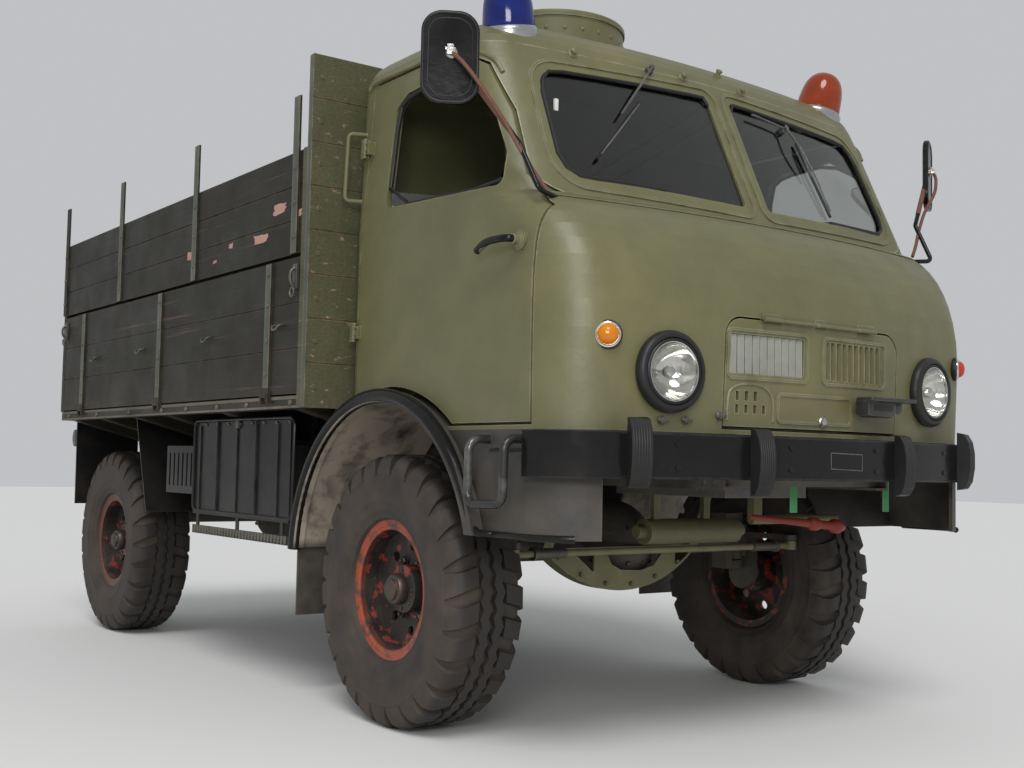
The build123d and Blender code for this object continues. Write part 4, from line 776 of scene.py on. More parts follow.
def seen_at(column, row, skin=cab_skin):
    """Where the photograph's pixel, or one a little below it, meets a surface, and its direction."""
    for lower in range(0, 60, 3):
        across = view_right * ((column - picture_width / 2) / focal_pixels)
        down = view_up * ((row + lower - picture_height / 2) / focal_pixels)
        ray = (look + across - down).normalized()
        hit, normal, _, _ = skin.ray_cast(eye, ray)
        if hit:
            break
    if normal.dot(ray) > 0:
        normal = -normal
    return hit, normal


def on_front(y, z, skin=cab_skin):
    """The cab's front skin at a height and a distance from the centre line."""
    hit, normal, _, _ = skin.ray_cast(Vector((3.4, y, z)), Vector((-1, 0, 0)))
    return hit, normal


# Dull steel bolts hold each door's hinge leaves. Domed rivets run round the foot of the hatch ring,
# under the cab's paint.
hatch_foot = Vector((1.144, -0.312, 2.38))
rivets = bmesh.new()
turned(rivets, hatch_foot + Vector((0.25, 0, 0)), (1, 0, 0), [(-0.002, 0.008), (0.002, 0.007),
       (0.004, 0.004), (0.005, 0)], 8)
repeat("hatch_rivets", rivets, ring_tree, {"Count": 24, "Centre": hatch_foot, "Axis": (0.0, 0.0, 1.0)},
       olive_finish, "chassis")
hinge_foot_x, hinge_foot_z, hinge_lean = -0.261, 0.985, 0.0716
door_bolts = [(hinge_foot_x + hinge_lean * (z - hinge_foot_z), z + up) for z in (1.311, 1.951)
              for up in (-0.012, 0.012)]
for side_name, side in both_sides:
    places = [(truck(x, side * 0.963, z), (0, side, 0)) for x, z in door_bolts]
    bolts("door_hinge_bolts_" + side_name, places, 0.006, 0.005, bolt_finish, "door_" + side_name)

# A pressed rain gutter runs over each door. It is a thin lip of the roof's sheet, folded outwards
# and painted with it.
for side_name, side in both_sides:
    gutter = bmesh.new()
    run = []
    for x, z in ((0.475, 2.075), (0.44, 2.125), (0.36, 2.168), (0.27, 2.184), (0.0, 2.187), (-0.20, 2.187),
                 (-0.235, 2.17)):
        hit, _, _, _ = cab_skin.ray_cast(truck(x, -1.4, z), Vector((0, 1, 0)))
        run.append(Vector((hit.x, side * (abs(hit.y) + 0.004), hit.z)))
    bent(gutter, curved(run, 5), 0.0075, 8)
    fit("roof_gutter_" + side_name, gutter, olive_finish, "chassis")

# Each screen and the rear window sit in a black moulded rubber seal, pressed over the sheet's edge.
# The panes are flat glass with a dusty film, tinted grey: painted shade for the dim cab behind them.
rubber_finish, rubber_tree, rubber_surface = new_finish("moulded_rubber")
place = object_place(rubber_tree)
dusted = mix_colour(rubber_tree, noise_mask(rubber_tree, place, 5.0, 0.3, 0.8, 8), (0.009, 0.009, 0.009, 1),
                    (0.022, 0.021, 0.020, 1))
connect(rubber_tree, rubber_surface, Base_Color=dusted, Roughness=0.42, Specular_IOR_Level=0.3)
embossed(rubber_tree, noise_mask(rubber_tree, place, 30.0, 0.2, 0.8), 0.25, 0.003)


def glassy(name, clear, filmed, film_size, low, roughness, shine=0.5):
    """Clear glass with a dusty film in patches."""
    finish, tree, surface = new_finish(name)
    film = noise_mask(tree, object_place(tree), film_size, low, 0.9)
    connect(tree, surface, Base_Color=mix_colour(tree, film, clear, filmed), Roughness=roughness,
            Transmission_Weight=1.0, IOR=1.45, Specular_IOR_Level=shine)
    return finish


# Painted shade: the window glass is tinted grey so the cab behind it looks dark.
shaded_glass_finish = glassy("window_glass", (0.40, 0.42, 0.40, 1), (0.28, 0.29, 0.26, 1), 2.2, 0.45, 0.0, 0.25)
dress("cab_glass door_glass_right door_glass_left", shaded_glass_finish)
screen_line = [
    (0.053, 1.722), (0.14, 1.7235), (0.40, 1.7285), (0.66, 1.733), (0.712, 1.738), (0.752, 1.762),
    (0.768, 1.805), (0.762, 1.92), (0.757, 2.02), (0.745, 2.075), (0.712, 2.101), (0.66, 2.112),
    (0.40, 2.1215), (0.14, 2.131), (0.072, 2.130), (0.053, 2.110), (0.053, 1.92), (0.053, 1.74)]
glass_skin = solid_tree("cab_glass")
for side_name, side in both_sides:
    seal = bmesh.new()
    run = []
    for y, z in screen_line:
        hit, normal = on_front(side * y, z, glass_skin)
        if hit is None:
            hit, normal = on_front(side * (0.41 + (y - 0.41) * 0.985), 1.925 + (z - 1.925) * 0.985,
                                   glass_skin)
        run.append(hit + Vector((0.010, 0, 0)))
    bent(seal, run, 0.0065, 8, closed=True)
    fit("screen_seal_" + side_name, seal, rubber_finish, "chassis")


def rounded(half_wide, half_high, corner, steps=7):
    """Points round a rectangle with rounded corners, as (across, up) from its middle."""
    points = []
    for across, up, start in ((1, 1, 0), (-1, 1, 90), (-1, -1, 180), (1, -1, 270)):
        for step in range(steps):
            t = math.radians(start + 90 * step / (steps - 1))
            points.append((across * (half_wide - corner) + corner * math.cos(t),
                           up * (half_high - corner) + corner * math.sin(t)))
    return points


rear_seal = bmesh.new()
window_line = [truck(-0.302, y, 1.86 + z) for y, z in rounded(0.33, 0.16, 0.06, 5)]
bent(rear_seal, window_line, 0.010, 8, closed=True)
fit("rear_window_seal", rear_seal, rubber_finish, "chassis")

# Two wipers hang from spindles on the header. Their arms are dark steel with rubber blades, and the
# left one is parked with its drive link. Screw knobs beside them hold the hinged screens.
wiper_steel = painted("wiper_steel", (0.05, 0.05, 0.05), (0.10, 0.10, 0.09), 9.0, 0.5, (0.2, 0.4),
                      chips=0.4, dirt_amount=0.1)
arms, blades, knobs = bmesh.new(), bmesh.new(), bmesh.new()
wiper_pixels = (
    ((648, 72), (618, 118), (636, 108), (598, 158)), ((781, 132), (806, 180), (796, 150), (826, 214)))
for spindle_at, middle_at, blade_from, blade_to in wiper_pixels:
    spindle, header = seen_at(*spindle_at)
    middle, tilt = seen_at(*middle_at)
    blade_top, _ = seen_at(*blade_from)
    blade_foot, _ = seen_at(*blade_to)
    turned(arms, spindle, header, [
        (-0.004, 0.014), (0.014, 0.014), (0.018, 0.010), (0.030, 0.009), (0.030, 0)], 16)
    bent(arms, curved([spindle + header * 0.024, spindle * 0.6 + middle * 0.4 + tilt * 0.034,
         middle + tilt * 0.022], 5), 0.0042, 8)
    along = (blade_foot - blade_top).normalized()
    bent(arms, [blade_top + tilt * 0.020, (blade_top + blade_foot) / 2 + tilt * 0.025,
         blade_foot + tilt * 0.020], 0.0030, 6)
    bent(blades, [blade_top - along * 0.02 + tilt * 0.010, blade_foot + along * 0.02 + tilt * 0.010],
         0.0055, 6)
fit("wiper_arms", arms, wiper_steel, "chassis")
fit("wiper_blades", blades, rubber_finish, "chassis")
link_rods = bmesh.new()
link_pixels = ((748, 118), (781, 132))
link_start, link_normal = seen_at(*link_pixels[0])
link_end, _ = seen_at(*link_pixels[1])
bent(link_rods, [link_start + link_normal * 0.02, link_end + link_normal * 0.02], 0.004, 8)
fit("wiper_link", link_rods, wiper_steel, "chassis")
knob_pixels = ((572, 54), (682, 78), (717, 70), (740, 93))
for column, row in knob_pixels:
    spot, out = seen_at(column, row)
    turned(knobs, spot, out, [
        (-0.004, 0.015), (0.003, 0.015), (0.006, 0.009), (0.012, 0.008), (0.014, 0.012), (0.020, 0.012),
        (0.023, 0.008), (0.024, 0)], 18)
fit("header_knobs", knobs, olive_finish, "chassis")
white_finish = painted("clip_white", (0.62, 0.62, 0.58), (0.45, 0.44, 0.40), 9.0, 0.5, (0.3, 0.5), wear=0.1,
                       chips=0.1, dirt_amount=0.1)
clip = bmesh.new()
clip_pixel = (555, 106)
spot, out = seen_at(*clip_pixel)
block(clip, spot + out * 0.006, (0.005, 0.007, 0.019), 0.002)
fit("screen_clip", clip, white_finish, "chassis")

# Behind the screens stands the inner bar that the open screen frames latch to. It is black tube,
# fixed between the dashboard and the roof.
bar = bmesh.new()
bent(bar, [truck(0.665, 0.0, 1.66), truck(0.49, 0.0, 2.16)], 0.011, 10)
fit("inner_bar", bar, black_finish, "chassis")

# The nose flap is a pressing with two louvres: closed pale blades on the truck's right and open ones
# on its left. It has a small blank door with a knob, over-centre catches and a pressed arch bead.
catches = bmesh.new()
catch_pixels = ((661, 420), (685, 420), (719, 416))
for column, row in catch_pixels:
    spot, out = seen_at(column, row)
    turned(catches, spot, out, [
        (-0.003, 0.013), (0.004, 0.013), (0.006, 0.010), (0.010, 0.009), (0.010, 0)], 16)
    block(catches, spot + out * 0.011, (0.003, 0.020, 0.003), 0.001)
fit("flap_catches", catches, bolt_finish, "chassis")
bright_finish = painted("bare_steel", (0.42, 0.41, 0.38), (0.28, 0.26, 0.23), 12.0, 0.6, (0.2, 0.4),
                        wear=0.2, chips=0.1, dirt_high=0.9, metallic=0.9)
door_knob = bmesh.new()
spot, out = on_front(0.014, 1.014)
turned(door_knob, spot, out, [
    (-0.002, 0.016), (0.006, 0.016), (0.010, 0.012), (0.016, 0.013), (0.018, 0.010), (0.018, 0)], 20)
fit("small_door_knob", door_knob, bright_finish, "grille_flap")
blade_grey = painted("blade_grey", (0.235, 0.24, 0.205), (0.16, 0.165, 0.135), 12.0, 0.6, (0.35, 0.55),
                     wear=0.5, chips=0.2, bare=(0.5, 0.5, 0.46, 1), dirt_low=0.9, dirt_high=1.3,
                     dirt_amount=0.35)
pale_blades = bmesh.new()
blade_pitch, nose_bow = 0.0306, 9.2
for i in range(10):
    y = -0.383 + (i + 0.5) * blade_pitch
    spot = Vector((2.1156 - y * y / nose_bow, y, 1.2045))
    block(pale_blades, spot, (0.0016, 0.0122, 0.0585), 0.0012, Matrix.Rotation(math.radians(-12), 3, "Z"))
fit("louvre_blades_right", pale_blades, blade_grey, "grille_flap")
dark_blades = bmesh.new()
slab(dark_blades, Vector((-0.0015, -0.0100, 1.146)), Vector((0.0015, 0.0100, 1.263)), 0.001,
     Matrix.Rotation(math.radians(-68), 3, "Z"))
for corner in dark_blades.verts:
    corner.co += Vector((2.1135, 0.0434, 0))
repeat("louvre_blades_left", dark_blades, row_tree, {"Count": 10, "Step": (-0.0011, 0.0288, 0.0)},
       blade_grey, "grille_flap")
arch_bead = bmesh.new()
run = []
for y, z in ((-0.398, 1.006), (-0.396, 1.060), (-0.380, 1.094), (-0.345, 1.112), (-0.300, 1.116),
             (-0.255, 1.112), (-0.222, 1.094), (-0.206, 1.060), (-0.204, 1.006)):
    spot, out = on_front(max(y, -0.388), z)
    run.append(spot + out * 0.001)
bent(arch_bead, curved(run, 4), 0.0045, 6)
fit("vent_bead", arch_bead, olive_finish, "grille_flap")
hood_finish = painted("hood_black", (0.018, 0.018, 0.018), (0.04, 0.038, 0.034), 9.0, 0.6, (0.25, 0.5),
                      wear=0.7, chips=0.4, bare=(0.20, 0.20, 0.18, 1), dirt_amount=0.3)
hood = bmesh.new()
slab(hood, truck(1.008, 0.150, 1.034), truck(1.068, 0.292, 1.096), 0.018)
slab(hood, truck(1.020, 0.145, 1.084), truck(1.0835, 0.375, 1.0975), 0.006)
slab(hood, truck(1.000, 0.290, 1.050), truck(1.050, 0.345, 1.090), 0.010)
slab(hood, truck(0.985, 0.190, 1.045), truck(1.020, 0.250, 1.085), 0.004)
hood_piece = fit("blackout_hood", hood, hood_finish, "grille_flap")
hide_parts("blackout_lamp")
hood_slot = bmesh.new()
slab(hood_slot, truck(1.0665, 0.175, 1.055), truck(1.0695, 0.270, 1.074), 0.0008)
fit("blackout_lens", hood_slot, rubber_finish, "grille_flap")

# The headlights stand in fat moulded rubber rings. Each is a bright pressed bowl with a bulb shield
# behind a domed fluted glass, and replaces the CAD lamp.
chrome_finish = painted("bright_chrome", (0.62, 0.62, 0.60), (0.45, 0.43, 0.40), 14.0, 0.5, (0.06, 0.22),
                        wear=0.1, chips=0.05, dirt_amount=0.1, bump=0.02, metallic=1.0)
lens_finish = glassy("lamp_glass", (0.96, 0.96, 0.93, 1), (0.75, 0.74, 0.68, 1), 30.0, 0.5, 0.03)
lens_radius, lens_rings, lens_sides = 0.0835, 12, 96
lens_rise, lens_sag, flute_depth, flutes, glass_depth = 0.0285, 0.0125, 0.0011, 330, 0.0030
for side_name, side in both_sides:
    centre = truck(0.966, side * 0.608, 1.136)
    out = Vector((1, side * 0.1051, 0)).normalized()
    along, first, second = square_to(out)
    tyre_like = bmesh.new()
    turned(tyre_like, centre, out, [
        (-0.012, 0.100), (-0.012, 0.116), (-0.004, 0.1188), (0.004, 0.1190), (0.012, 0.1165),
        (0.018, 0.1105), (0.021, 0.1040), (0.0205, 0.0985), (0.017, 0.0960), (0.010, 0.0955),
        (-0.012, 0.100)], 64)
    turned(tyre_like, centre, out, [
        (0.012, 0.0955), (0.019, 0.0950), (0.022, 0.0915), (0.0215, 0.0880), (0.017, 0.0868),
        (0.008, 0.0868), (0.008, 0.0955), (0.012, 0.0955)], 64)
    joined_up(tyre_like)
    ring_piece = fit("headlight_rubber_" + side_name, tyre_like, rubber_finish, "chassis")
    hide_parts("headlights")
    bowl = bmesh.new()
    turned(bowl, centre, out, [
        (0.018, 0.0872), (0.020, 0.0860), (0.0195, 0.0835), (0.014, 0.0830), (0.006, 0.0805),
        (-0.014, 0.0700), (-0.034, 0.0540), (-0.050, 0.0330), (-0.056, 0.0140), (-0.056, 0.0),
        (-0.060, 0.0), (-0.060, 0.0160), (-0.053, 0.0370), (-0.036, 0.0590), (-0.014, 0.0750),
        (0.006, 0.0866), (0.018, 0.0872)], 64)
    joined_up(bowl)
    fit("headlight_bowl_" + side_name, bowl, chrome_finish, "chassis")
    shield = bmesh.new()
    turned(shield, centre, out, [
        (-0.056, 0.008), (-0.020, 0.008), (-0.018, 0.017), (-0.008, 0.019), (0.000, 0.015), (0.003, 0.008),
        (0.004, 0)], 24)
    fit("headlight_shield_" + side_name, shield, chrome_finish, "chassis")
    lens = bmesh.new()
    for face_shift, ripple in ((0.0, flute_depth), (-glass_depth, 0.0)):
        rows = []
        for j in range(lens_rings + 1):
            radius = lens_radius * j / lens_rings
            ring_points = []
            for t in around(lens_sides) if j else [0.0]:
                a, b = radius * math.cos(t), radius * math.sin(t)
                dome = lens_rise - lens_sag * (radius / lens_radius) ** 2
                flute = ripple * abs(math.sin(a * flutes)) * (1 - (j / lens_rings) ** 6)
                reach = dome + flute + face_shift
                ring_points.append(lens.verts.new(centre + first * a + second * b + along * reach))
            rows.append(ring_points)
        for near, far in zip(rows, rows[1:]):
            for i in range(lens_sides):
                quad = [near[i % len(near)], near[(i + 1) % len(near)], far[(i + 1) % lens_sides], far[i]]
                quad = list(dict.fromkeys(quad))
                lens.faces.new(quad if not face_shift else quad[::-1])
        if face_shift:
            for i in range(lens_sides):
                beside = (i + 1) % lens_sides
                lens.faces.new((outer_row[i], outer_row[beside], rows[-1][beside], rows[-1][i]))
        outer_row = rows[-1]
    fit("headlight_glass_" + side_name, lens, lens_finish, "chassis", 60)

# The indicators on the nose's corners are ribbed plastic lenses in a chromed ring on a black rubber
# foot: amber on the truck's right and a darker red amber on its left. They replace the CAD lamps.
def lens_plastic(name, tint, glow, painted_glow=0.04):
    """Coloured see-through plastic, deeper in patches, with a faint painted glow, as no lamp is lit."""
    finish, tree, surface = new_finish(name)
    patch = noise_mask(tree, object_place(tree), 18.0, 0.3, 0.8)
    connect(tree, surface, Base_Color=mix_colour(tree, patch, (*tint, 1), (*glow, 1)), Roughness=0.10,
            Transmission_Weight=0.30, IOR=1.45, Emission_Color=(*glow, 1), Emission_Strength=painted_glow)
    return finish


# The amber indicator has the strongest painted glow, standing in for light caught in its lens.
amber_finish = lens_plastic("amber_lens", (0.58, 0.15, 0.002), (0.78, 0.28, 0.004), 0.12)
red_amber = lens_plastic("red_lens", (0.50, 0.035, 0.02), (0.62, 0.07, 0.03))
for side_name, side, tint_finish in (("right", -1, amber_finish), ("left", 1, red_amber)):
    centre = truck(0.920, side * 0.807, 1.230)
    out = Vector((0.8, side * 0.6, 0))
    foot = bmesh.new()
    turned(foot, centre, out, [
        (-0.018, 0.024), (-0.010, 0.036), (0.000, 0.0415), (0.010, 0.0415), (0.013, 0.038), (0.013, 0.0)],
        40)
    foot_piece = fit("indicator_foot_" + side_name, foot, rubber_finish, "chassis")
    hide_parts("indicators")
    band = bmesh.new()
    turned(band, centre, out, [
        (0.011, 0.0385), (0.014, 0.0385), (0.0185, 0.0365), (0.0195, 0.0330), (0.0185, 0.0310),
        (0.011, 0.0310), (0.011, 0.0385)], 40)
    joined_up(band)
    fit("indicator_ring_" + side_name, band, chrome_finish, "chassis")
    dome = bmesh.new()
    turned(dome, centre, out, [
        (0.012, 0.0), (0.012, 0.0312), (0.020, 0.0308), (0.022, 0.0292), (0.025, 0.0292), (0.027, 0.0272),
        (0.0295, 0.0268), (0.0315, 0.0242), (0.0335, 0.0232), (0.0355, 0.0196), (0.0370, 0.0180),
        (0.0388, 0.0130), (0.0400, 0.0090), (0.0405, 0.0)], 40)
    fit("indicator_lens_" + side_name, dome, tint_finish, "chassis", 50)

# Two warning beacons stand on the roof's corners. Each has a spun metal base, a ribbed coloured dome
# and a mirror and bulb that show through it. They replace the CAD beacons.
# The beacon domes carry a faint painted glow; the beacons are not lit.
blue_finish = lens_plastic("blue_lens", (0.002, 0.007, 0.10), (0.005, 0.022, 0.24))
beacon_amber = lens_plastic("beacon_amber", (0.24, 0.028, 0.003), (0.38, 0.055, 0.005))
silver_finish = painted("spun_silver", (0.42, 0.43, 0.42), (0.28, 0.28, 0.27), 16.0, 0.5, (0.15, 0.4),
                        wear=0.2, chips=0.1, dirt_amount=0.2, bump=0.05, metallic=0.9)
forward_lean, outward_lean = math.radians(9), math.radians(11)
for side_name, side, tint_finish in (("right", -1, blue_finish), ("left", 1, beacon_amber)):
    lean = Matrix.Translation(truck(0.340, side * 0.748, 2.238)) @ (
        Matrix.Rotation(forward_lean, 4, "Y") @ Matrix.Rotation(-side * outward_lean, 4, "X"))
    base = bmesh.new()
    turned(base, Vector(), (0, 0, 1), [
        (-0.036, 0.0), (-0.036, 0.0930), (-0.004, 0.0940), (0.002, 0.0955), (0.024, 0.0957),
        (0.031, 0.0945), (0.0360, 0.0900), (0.0390, 0.0875), (0.0395, 0.0)], 56)
    base.transform(lean)
    base_piece = fit("beacon_base_" + side_name, base, silver_finish, "chassis")
    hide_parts("beacon_" + side_name)
    dome = bmesh.new()
    outside = [
        (0.0392, 0.0855), (0.0440, 0.0862), (0.062, 0.0850), (0.085, 0.0832), (0.110, 0.0802),
        (0.130, 0.0765), (0.148, 0.0712), (0.163, 0.0640), (0.175, 0.0550), (0.185, 0.0440),
        (0.1915, 0.0320), (0.1950, 0.0190), (0.1962, 0.0)]
    turned(dome, Vector(), (0, 0, 1), outside + [
        (z - 0.003, max(r - 0.003, 0)) for z, r in reversed(outside)] + [(0.0392, 0.0855)], 56)
    joined_up(dome)
    dome.transform(lean)
    fit("beacon_dome_" + side_name, dome, tint_finish, "chassis", 50)
    inner = bmesh.new()
    turned(inner, Vector(), (0, 0, 1), [
        (0.040, 0.034), (0.056, 0.034), (0.058, 0.014), (0.086, 0.014), (0.094, 0.022), (0.112, 0.024),
        (0.124, 0.018), (0.130, 0.0)], 20)
    for k in range(7):
        t = math.radians(-60 + 20 * k)
        slab(inner, Vector((0.050 * math.cos(t) - 0.002, 0.050 * math.sin(t) - 0.009, 0.058)),
             Vector((0.050 * math.cos(t) + 0.002, 0.050 * math.sin(t) + 0.009, 0.130)), 0.001,
             Matrix.Rotation(t, 3, "Z"))
    inner.transform(lean)
    fit("beacon_mirror_" + side_name, inner, chrome_finish, "chassis")

# The bumper is a bowed folded channel in thick glossy black, with a bead along each fold. Its four
# overriders are moulded rubber with upright ribs, and the blank plate's outline is a fine bead.
dress("bumper", black_finish)
dress("overriders", rubber_finish)
bumper_middle_x, bumper_bow = 1.062, 7.5


def bumper_x(y):
    return bumper_middle_x - y * y / bumper_bow


strip_ribs = bmesh.new()
for y, turn_by, lowered in ((0.331, 5, 0.020), (0.7525, 20, 0.0)):
    for side in (-1, 1):
        foot = truck(bumper_x(y), side * y, 0)
        turned_by = Matrix.Rotation(math.radians(side * turn_by), 3, "Z")
        for i in range(7):
            local_y = -0.024 + 0.008 * i
            run = []
            for px, pz in ((0.0215, 0.812), (0.0345, 0.834), (0.0422, 0.880), (0.0422, 0.930),
                           (0.0352, 0.968), (0.0215, 0.992)):
                run.append(foot + turned_by @ Vector((px - 0.0012, local_y, 0))
                           + Vector((0, 0, pz - lowered)))
            bent(strip_ribs, run, 0.0022, 6)
fit("overrider_ribs", strip_ribs, rubber_finish, "chassis")
plate_bead = bmesh.new()
bumper_skin = solid_tree("bumper")
run = []
plate_pixels = ((831, 453), (862, 455), (862, 471), (831, 469))
for column, row in plate_pixels:
    hit, out = seen_at(column, row, bumper_skin)
    run.append(hit + out * 0.0006)
bent(plate_bead, run + [run[0]], 0.0016, 6)
fit("plate_outline", plate_bead, bolt_finish, "chassis")
fold_beads = bmesh.new()
for fold_z in (0.9555, 0.8345):
    run = [truck(bumper_x(y) - 0.0015, y, fold_z) for y in (-0.80 + 0.05 * i for i in range(33))]
    bent(fold_beads, run, 0.0034, 8)
fit("bumper_beads", fold_beads, black_finish, "chassis")
bumper_bolts = []
for y in (-0.62, -0.20, 0.20, 0.62):
    bumper_bolts += [(truck(bumper_x(y), y, z), (1, 2 * y / bumper_bow, 0)) for z in (0.862, 0.928)]
bolts("bumper_bolts", bumper_bolts, 0.0085, 0.005, black_finish, "chassis", 16)

# The front arches are black sheet with a flared lip. A beaded skirt wraps round below the nose, and
# the boarding steps are bent tube whose tread is worn bright.
skirt_finish = painted("dull_black", (0.008, 0.008, 0.0085), (0.020, 0.018, 0.016), 3.0, 0.6, (0.20, 0.45),
                       wear=0.4, chips=0.12, bare=(0.11, 0.11, 0.10, 1), dirt_low=0.5, dirt_high=1.2,
                       dirt_amount=0.10, shine=0.18)
dress("side_lockers rear_mudguards", skirt_finish)
mud, place, given, leave = new_group("arch_mud", [
    ("Color", COLOUR, (0.03, 0.03, 0.03, 1)), ("Mud", COLOUR, (0.33, 0.275, 0.215, 1)),
    ("Front X", NUMBER, 1.16), ("Rear X", NUMBER, 0.90)], [("Color", COLOUR)])
at = split(mud, place)
rearward = ranged(mud, at["X"], given["Front X"], given["Rear X"])
above_flap = ranged(mud, at["Z"], 0.545, 0.580)
splashed = multiply(mud, multiply(mud, rearward, above_flap), noise_mask(mud, place, 9.0, 0.30, 0.52, 9))
connect(mud, leave, Color=mix_colour(mud, splashed, given["Color"], given["Mud"]))
arch_finish = painted("muddy_arch", (0.028, 0.026, 0.024), (0.050, 0.044, 0.038), 3.0, 0.6, (0.40, 0.65),
                      wear=0.3, chips=0.1, bare=(0.16, 0.15, 0.13, 1), dirt_low=0.5, dirt_high=1.2,
                      dirt_amount=0.35)
arch_tree = arch_finish.node_tree
arch_surface = arch_tree.nodes["Principled BSDF"]
clean_colour = arch_surface.inputs["Base Color"].links[0].from_socket
muddied = group_node(arch_tree, mud, Color=clean_colour)
connect(arch_tree, arch_surface, Base_Color=muddied.outputs["Color"])
dress("fenders", arch_finish)
step_finish = painted("step_steel", (0.030, 0.030, 0.030), (0.20, 0.20, 0.19), 8.0, 0.7, (0.15, 0.4),
                      wear=1.0, chips=0.5, bare=(0.55, 0.55, 0.53, 1), dirt_amount=0.1, metallic=0.5)
dress("cab_steps", step_finish)
fender_skin = solid_tree("fenders")
moulding, skirt_bead = bmesh.new(), bmesh.new()
arch_radius, moulding_sides, moulding_thick = 0.581, 12, 0.024
thin_from, thin_over, thinned_by = math.radians(45), math.radians(25), 0.010
for side in (-1, 1):
    path = []
    for i in range(41):
        t = math.radians(176 - 3.9 * i)
        thinner = thinned_by * max(0.0, (thin_from - t) / thin_over)
        path.append((truck(-0.010 + arch_radius * math.cos(t), side * 0.998,
                    0.5 + arch_radius * math.sin(t)), moulding_thick - thinner))
    path += [(truck(0.551, side * 0.996, 0.674), 0.0125), (truck(0.572, side * 0.992, 0.662), 0.0115)]
    for x in (0.60, 0.64, 0.68, 0.72, 0.76, 0.80, 0.83, 0.86, 0.88):
        hit, _, _, _ = fender_skin.ray_cast(truck(x, side * 1.5, 0.668), Vector((0, -side, 0)))
        if hit:
            path.append((Vector((hit.x, hit.y, 0.659)), 0.0105))
    loops = []
    for k, (point, thick) in enumerate(path):
        ahead = (path[min(k + 1, len(path) - 1)][0] - path[max(k - 1, 0)][0]).normalized()
        level = ahead.cross(Vector((0, side, 0))).normalized()
        sideways_by = level.cross(ahead)
        loops.append([
            moulding.verts.new(point + level * thick * math.cos(t) + sideways_by * thick * math.sin(t))
            for t in around(moulding_sides)])
    for near, far in zip(loops, loops[1:]):
        for j in range(moulding_sides):
            moulding.faces.new((near[j - 1], near[j], far[j], far[j - 1]))
    moulding.faces.new(loops[0])
    moulding.faces.new(loops[-1])
    run = []
    for x in (0.58, 0.64, 0.70, 0.76, 0.81, 0.85):
        hit, _, _, _ = fender_skin.ray_cast(truck(x, side * 1.5, 0.905), Vector((0, -side, 0)))
        if hit:
            run.append(hit + Vector((0, side * 0.001, 0)))
    bent(skirt_bead, run, 0.0050, 8)
fit("arch_moulding", moulding, black_finish, "chassis")
fit("skirt_beads", skirt_bead, skirt_finish, "chassis")

# Each door has a bent black lever on an olive rose, set over the handle of its CAD node. A rubber
# channel lines the window, and a winder turns on the inner side.
for side_name, side in both_sides:
    body = "door_" + side_name
    rose = bmesh.new()
    turned(rose, truck(0.700, side * 0.960, 1.510), (0, side, 0), [
        (-0.010, 0.0), (-0.010, 0.0255), (0.0015, 0.0255), (0.0040, 0.0235), (0.0055, 0.0185),
        (0.0120, 0.0160), (0.0240, 0.0145), (0.0260, 0.0)], 32)
    fit("handle_rose_" + side_name, rose, olive_finish, body)
    lever = bmesh.new()
    bent(lever, curved([truck(0.700, side * 0.972, 1.510), truck(0.698, side * 0.992, 1.510),
         truck(0.680, side * 1.0025, 1.5105), truck(0.640, side * 1.0030, 1.5115),
         truck(0.600, side * 1.0025, 1.510), truck(0.565, side * 0.9985, 1.502),
         truck(0.540, side * 0.9955, 1.491)], 5), 0.0112, 12)
    fit("handle_lever_" + side_name, lever, black_finish, body)
    strip = bmesh.new()
    window = [
        (-0.080, 1.724), (0.572, 1.6955), (0.559, 1.800), (0.462, 1.995), (0.268, 2.105), (0.022, 2.093),
        (-0.040, 2.056)]
    door_skin = solid_tree(body)
    run = []
    for (x0, z0), (x1, z1) in zip(window, window[1:] + window[:1]):
        for k in range(1, 5):
            run.append(Vector((x0 + (x1 - x0) * k / 5, 0, z0 + (z1 - z0) * k / 5)))
    edge = []
    for point in run:
        centre_pull = Vector((0.25, 0, 1.90)) - point
        spot = point - centre_pull.normalized() * 0.016
        hit, _, _, _ = door_skin.ray_cast(truck(spot.x, side * 1.5, spot.z), Vector((0, -side, 0)))
        depth = abs(hit.y) if hit and abs(hit.y) > 0.85 else 0.945
        edge.append(truck(point.x, side * (depth - 0.010), point.z))
    bent(strip, edge, 0.0075, 8, closed=True)
    fit("window_channel_" + side_name, strip, rubber_finish, body)
    inner_handle = bmesh.new()
    turned(inner_handle, truck(0.42, side * 0.918, 1.30), (0, -side, 0), [
        (0, 0), (0, 0.018), (0.006, 0.018), (0.012, 0.010), (0.030, 0.009), (0.030, 0)], 16)
    bent(inner_handle, [truck(0.42, side * 0.890, 1.30), truck(0.36, side * 0.886, 1.26)], 0.006, 8)
    turned(inner_handle, truck(0.36, side * 0.886, 1.26), (0, -side, 0), [
        (-0.004, 0), (-0.004, 0.010), (0.020, 0.013), (0.030, 0.009), (0.030, 0)], 12)
    fit("window_winder_" + side_name, inner_handle, black_finish, body)

# The mirrors are pressed heads with a rolled edge, turned in toward the driver on bent tube arms. The
# arms have rusted at their upper ends, and a bright clamp holds each head.
rust_finish = painted("rusty_arm", (0.13, 0.05, 0.028), (0.20, 0.085, 0.05), 22.0, 0.8, (0.5, 0.75),
                      chips=0.4, bare=(0.05, 0.04, 0.035, 1), dirt_amount=0.2, bump=0.6)
dress("mirrors", black_finish)


def head_line(half_wide, half_high, corner, out):
    """A rounded rectangle of points on the mirror head, seen along its own X."""
    return [Vector((out, across, up)) for across, up in rounded(half_wide, half_high, corner)]


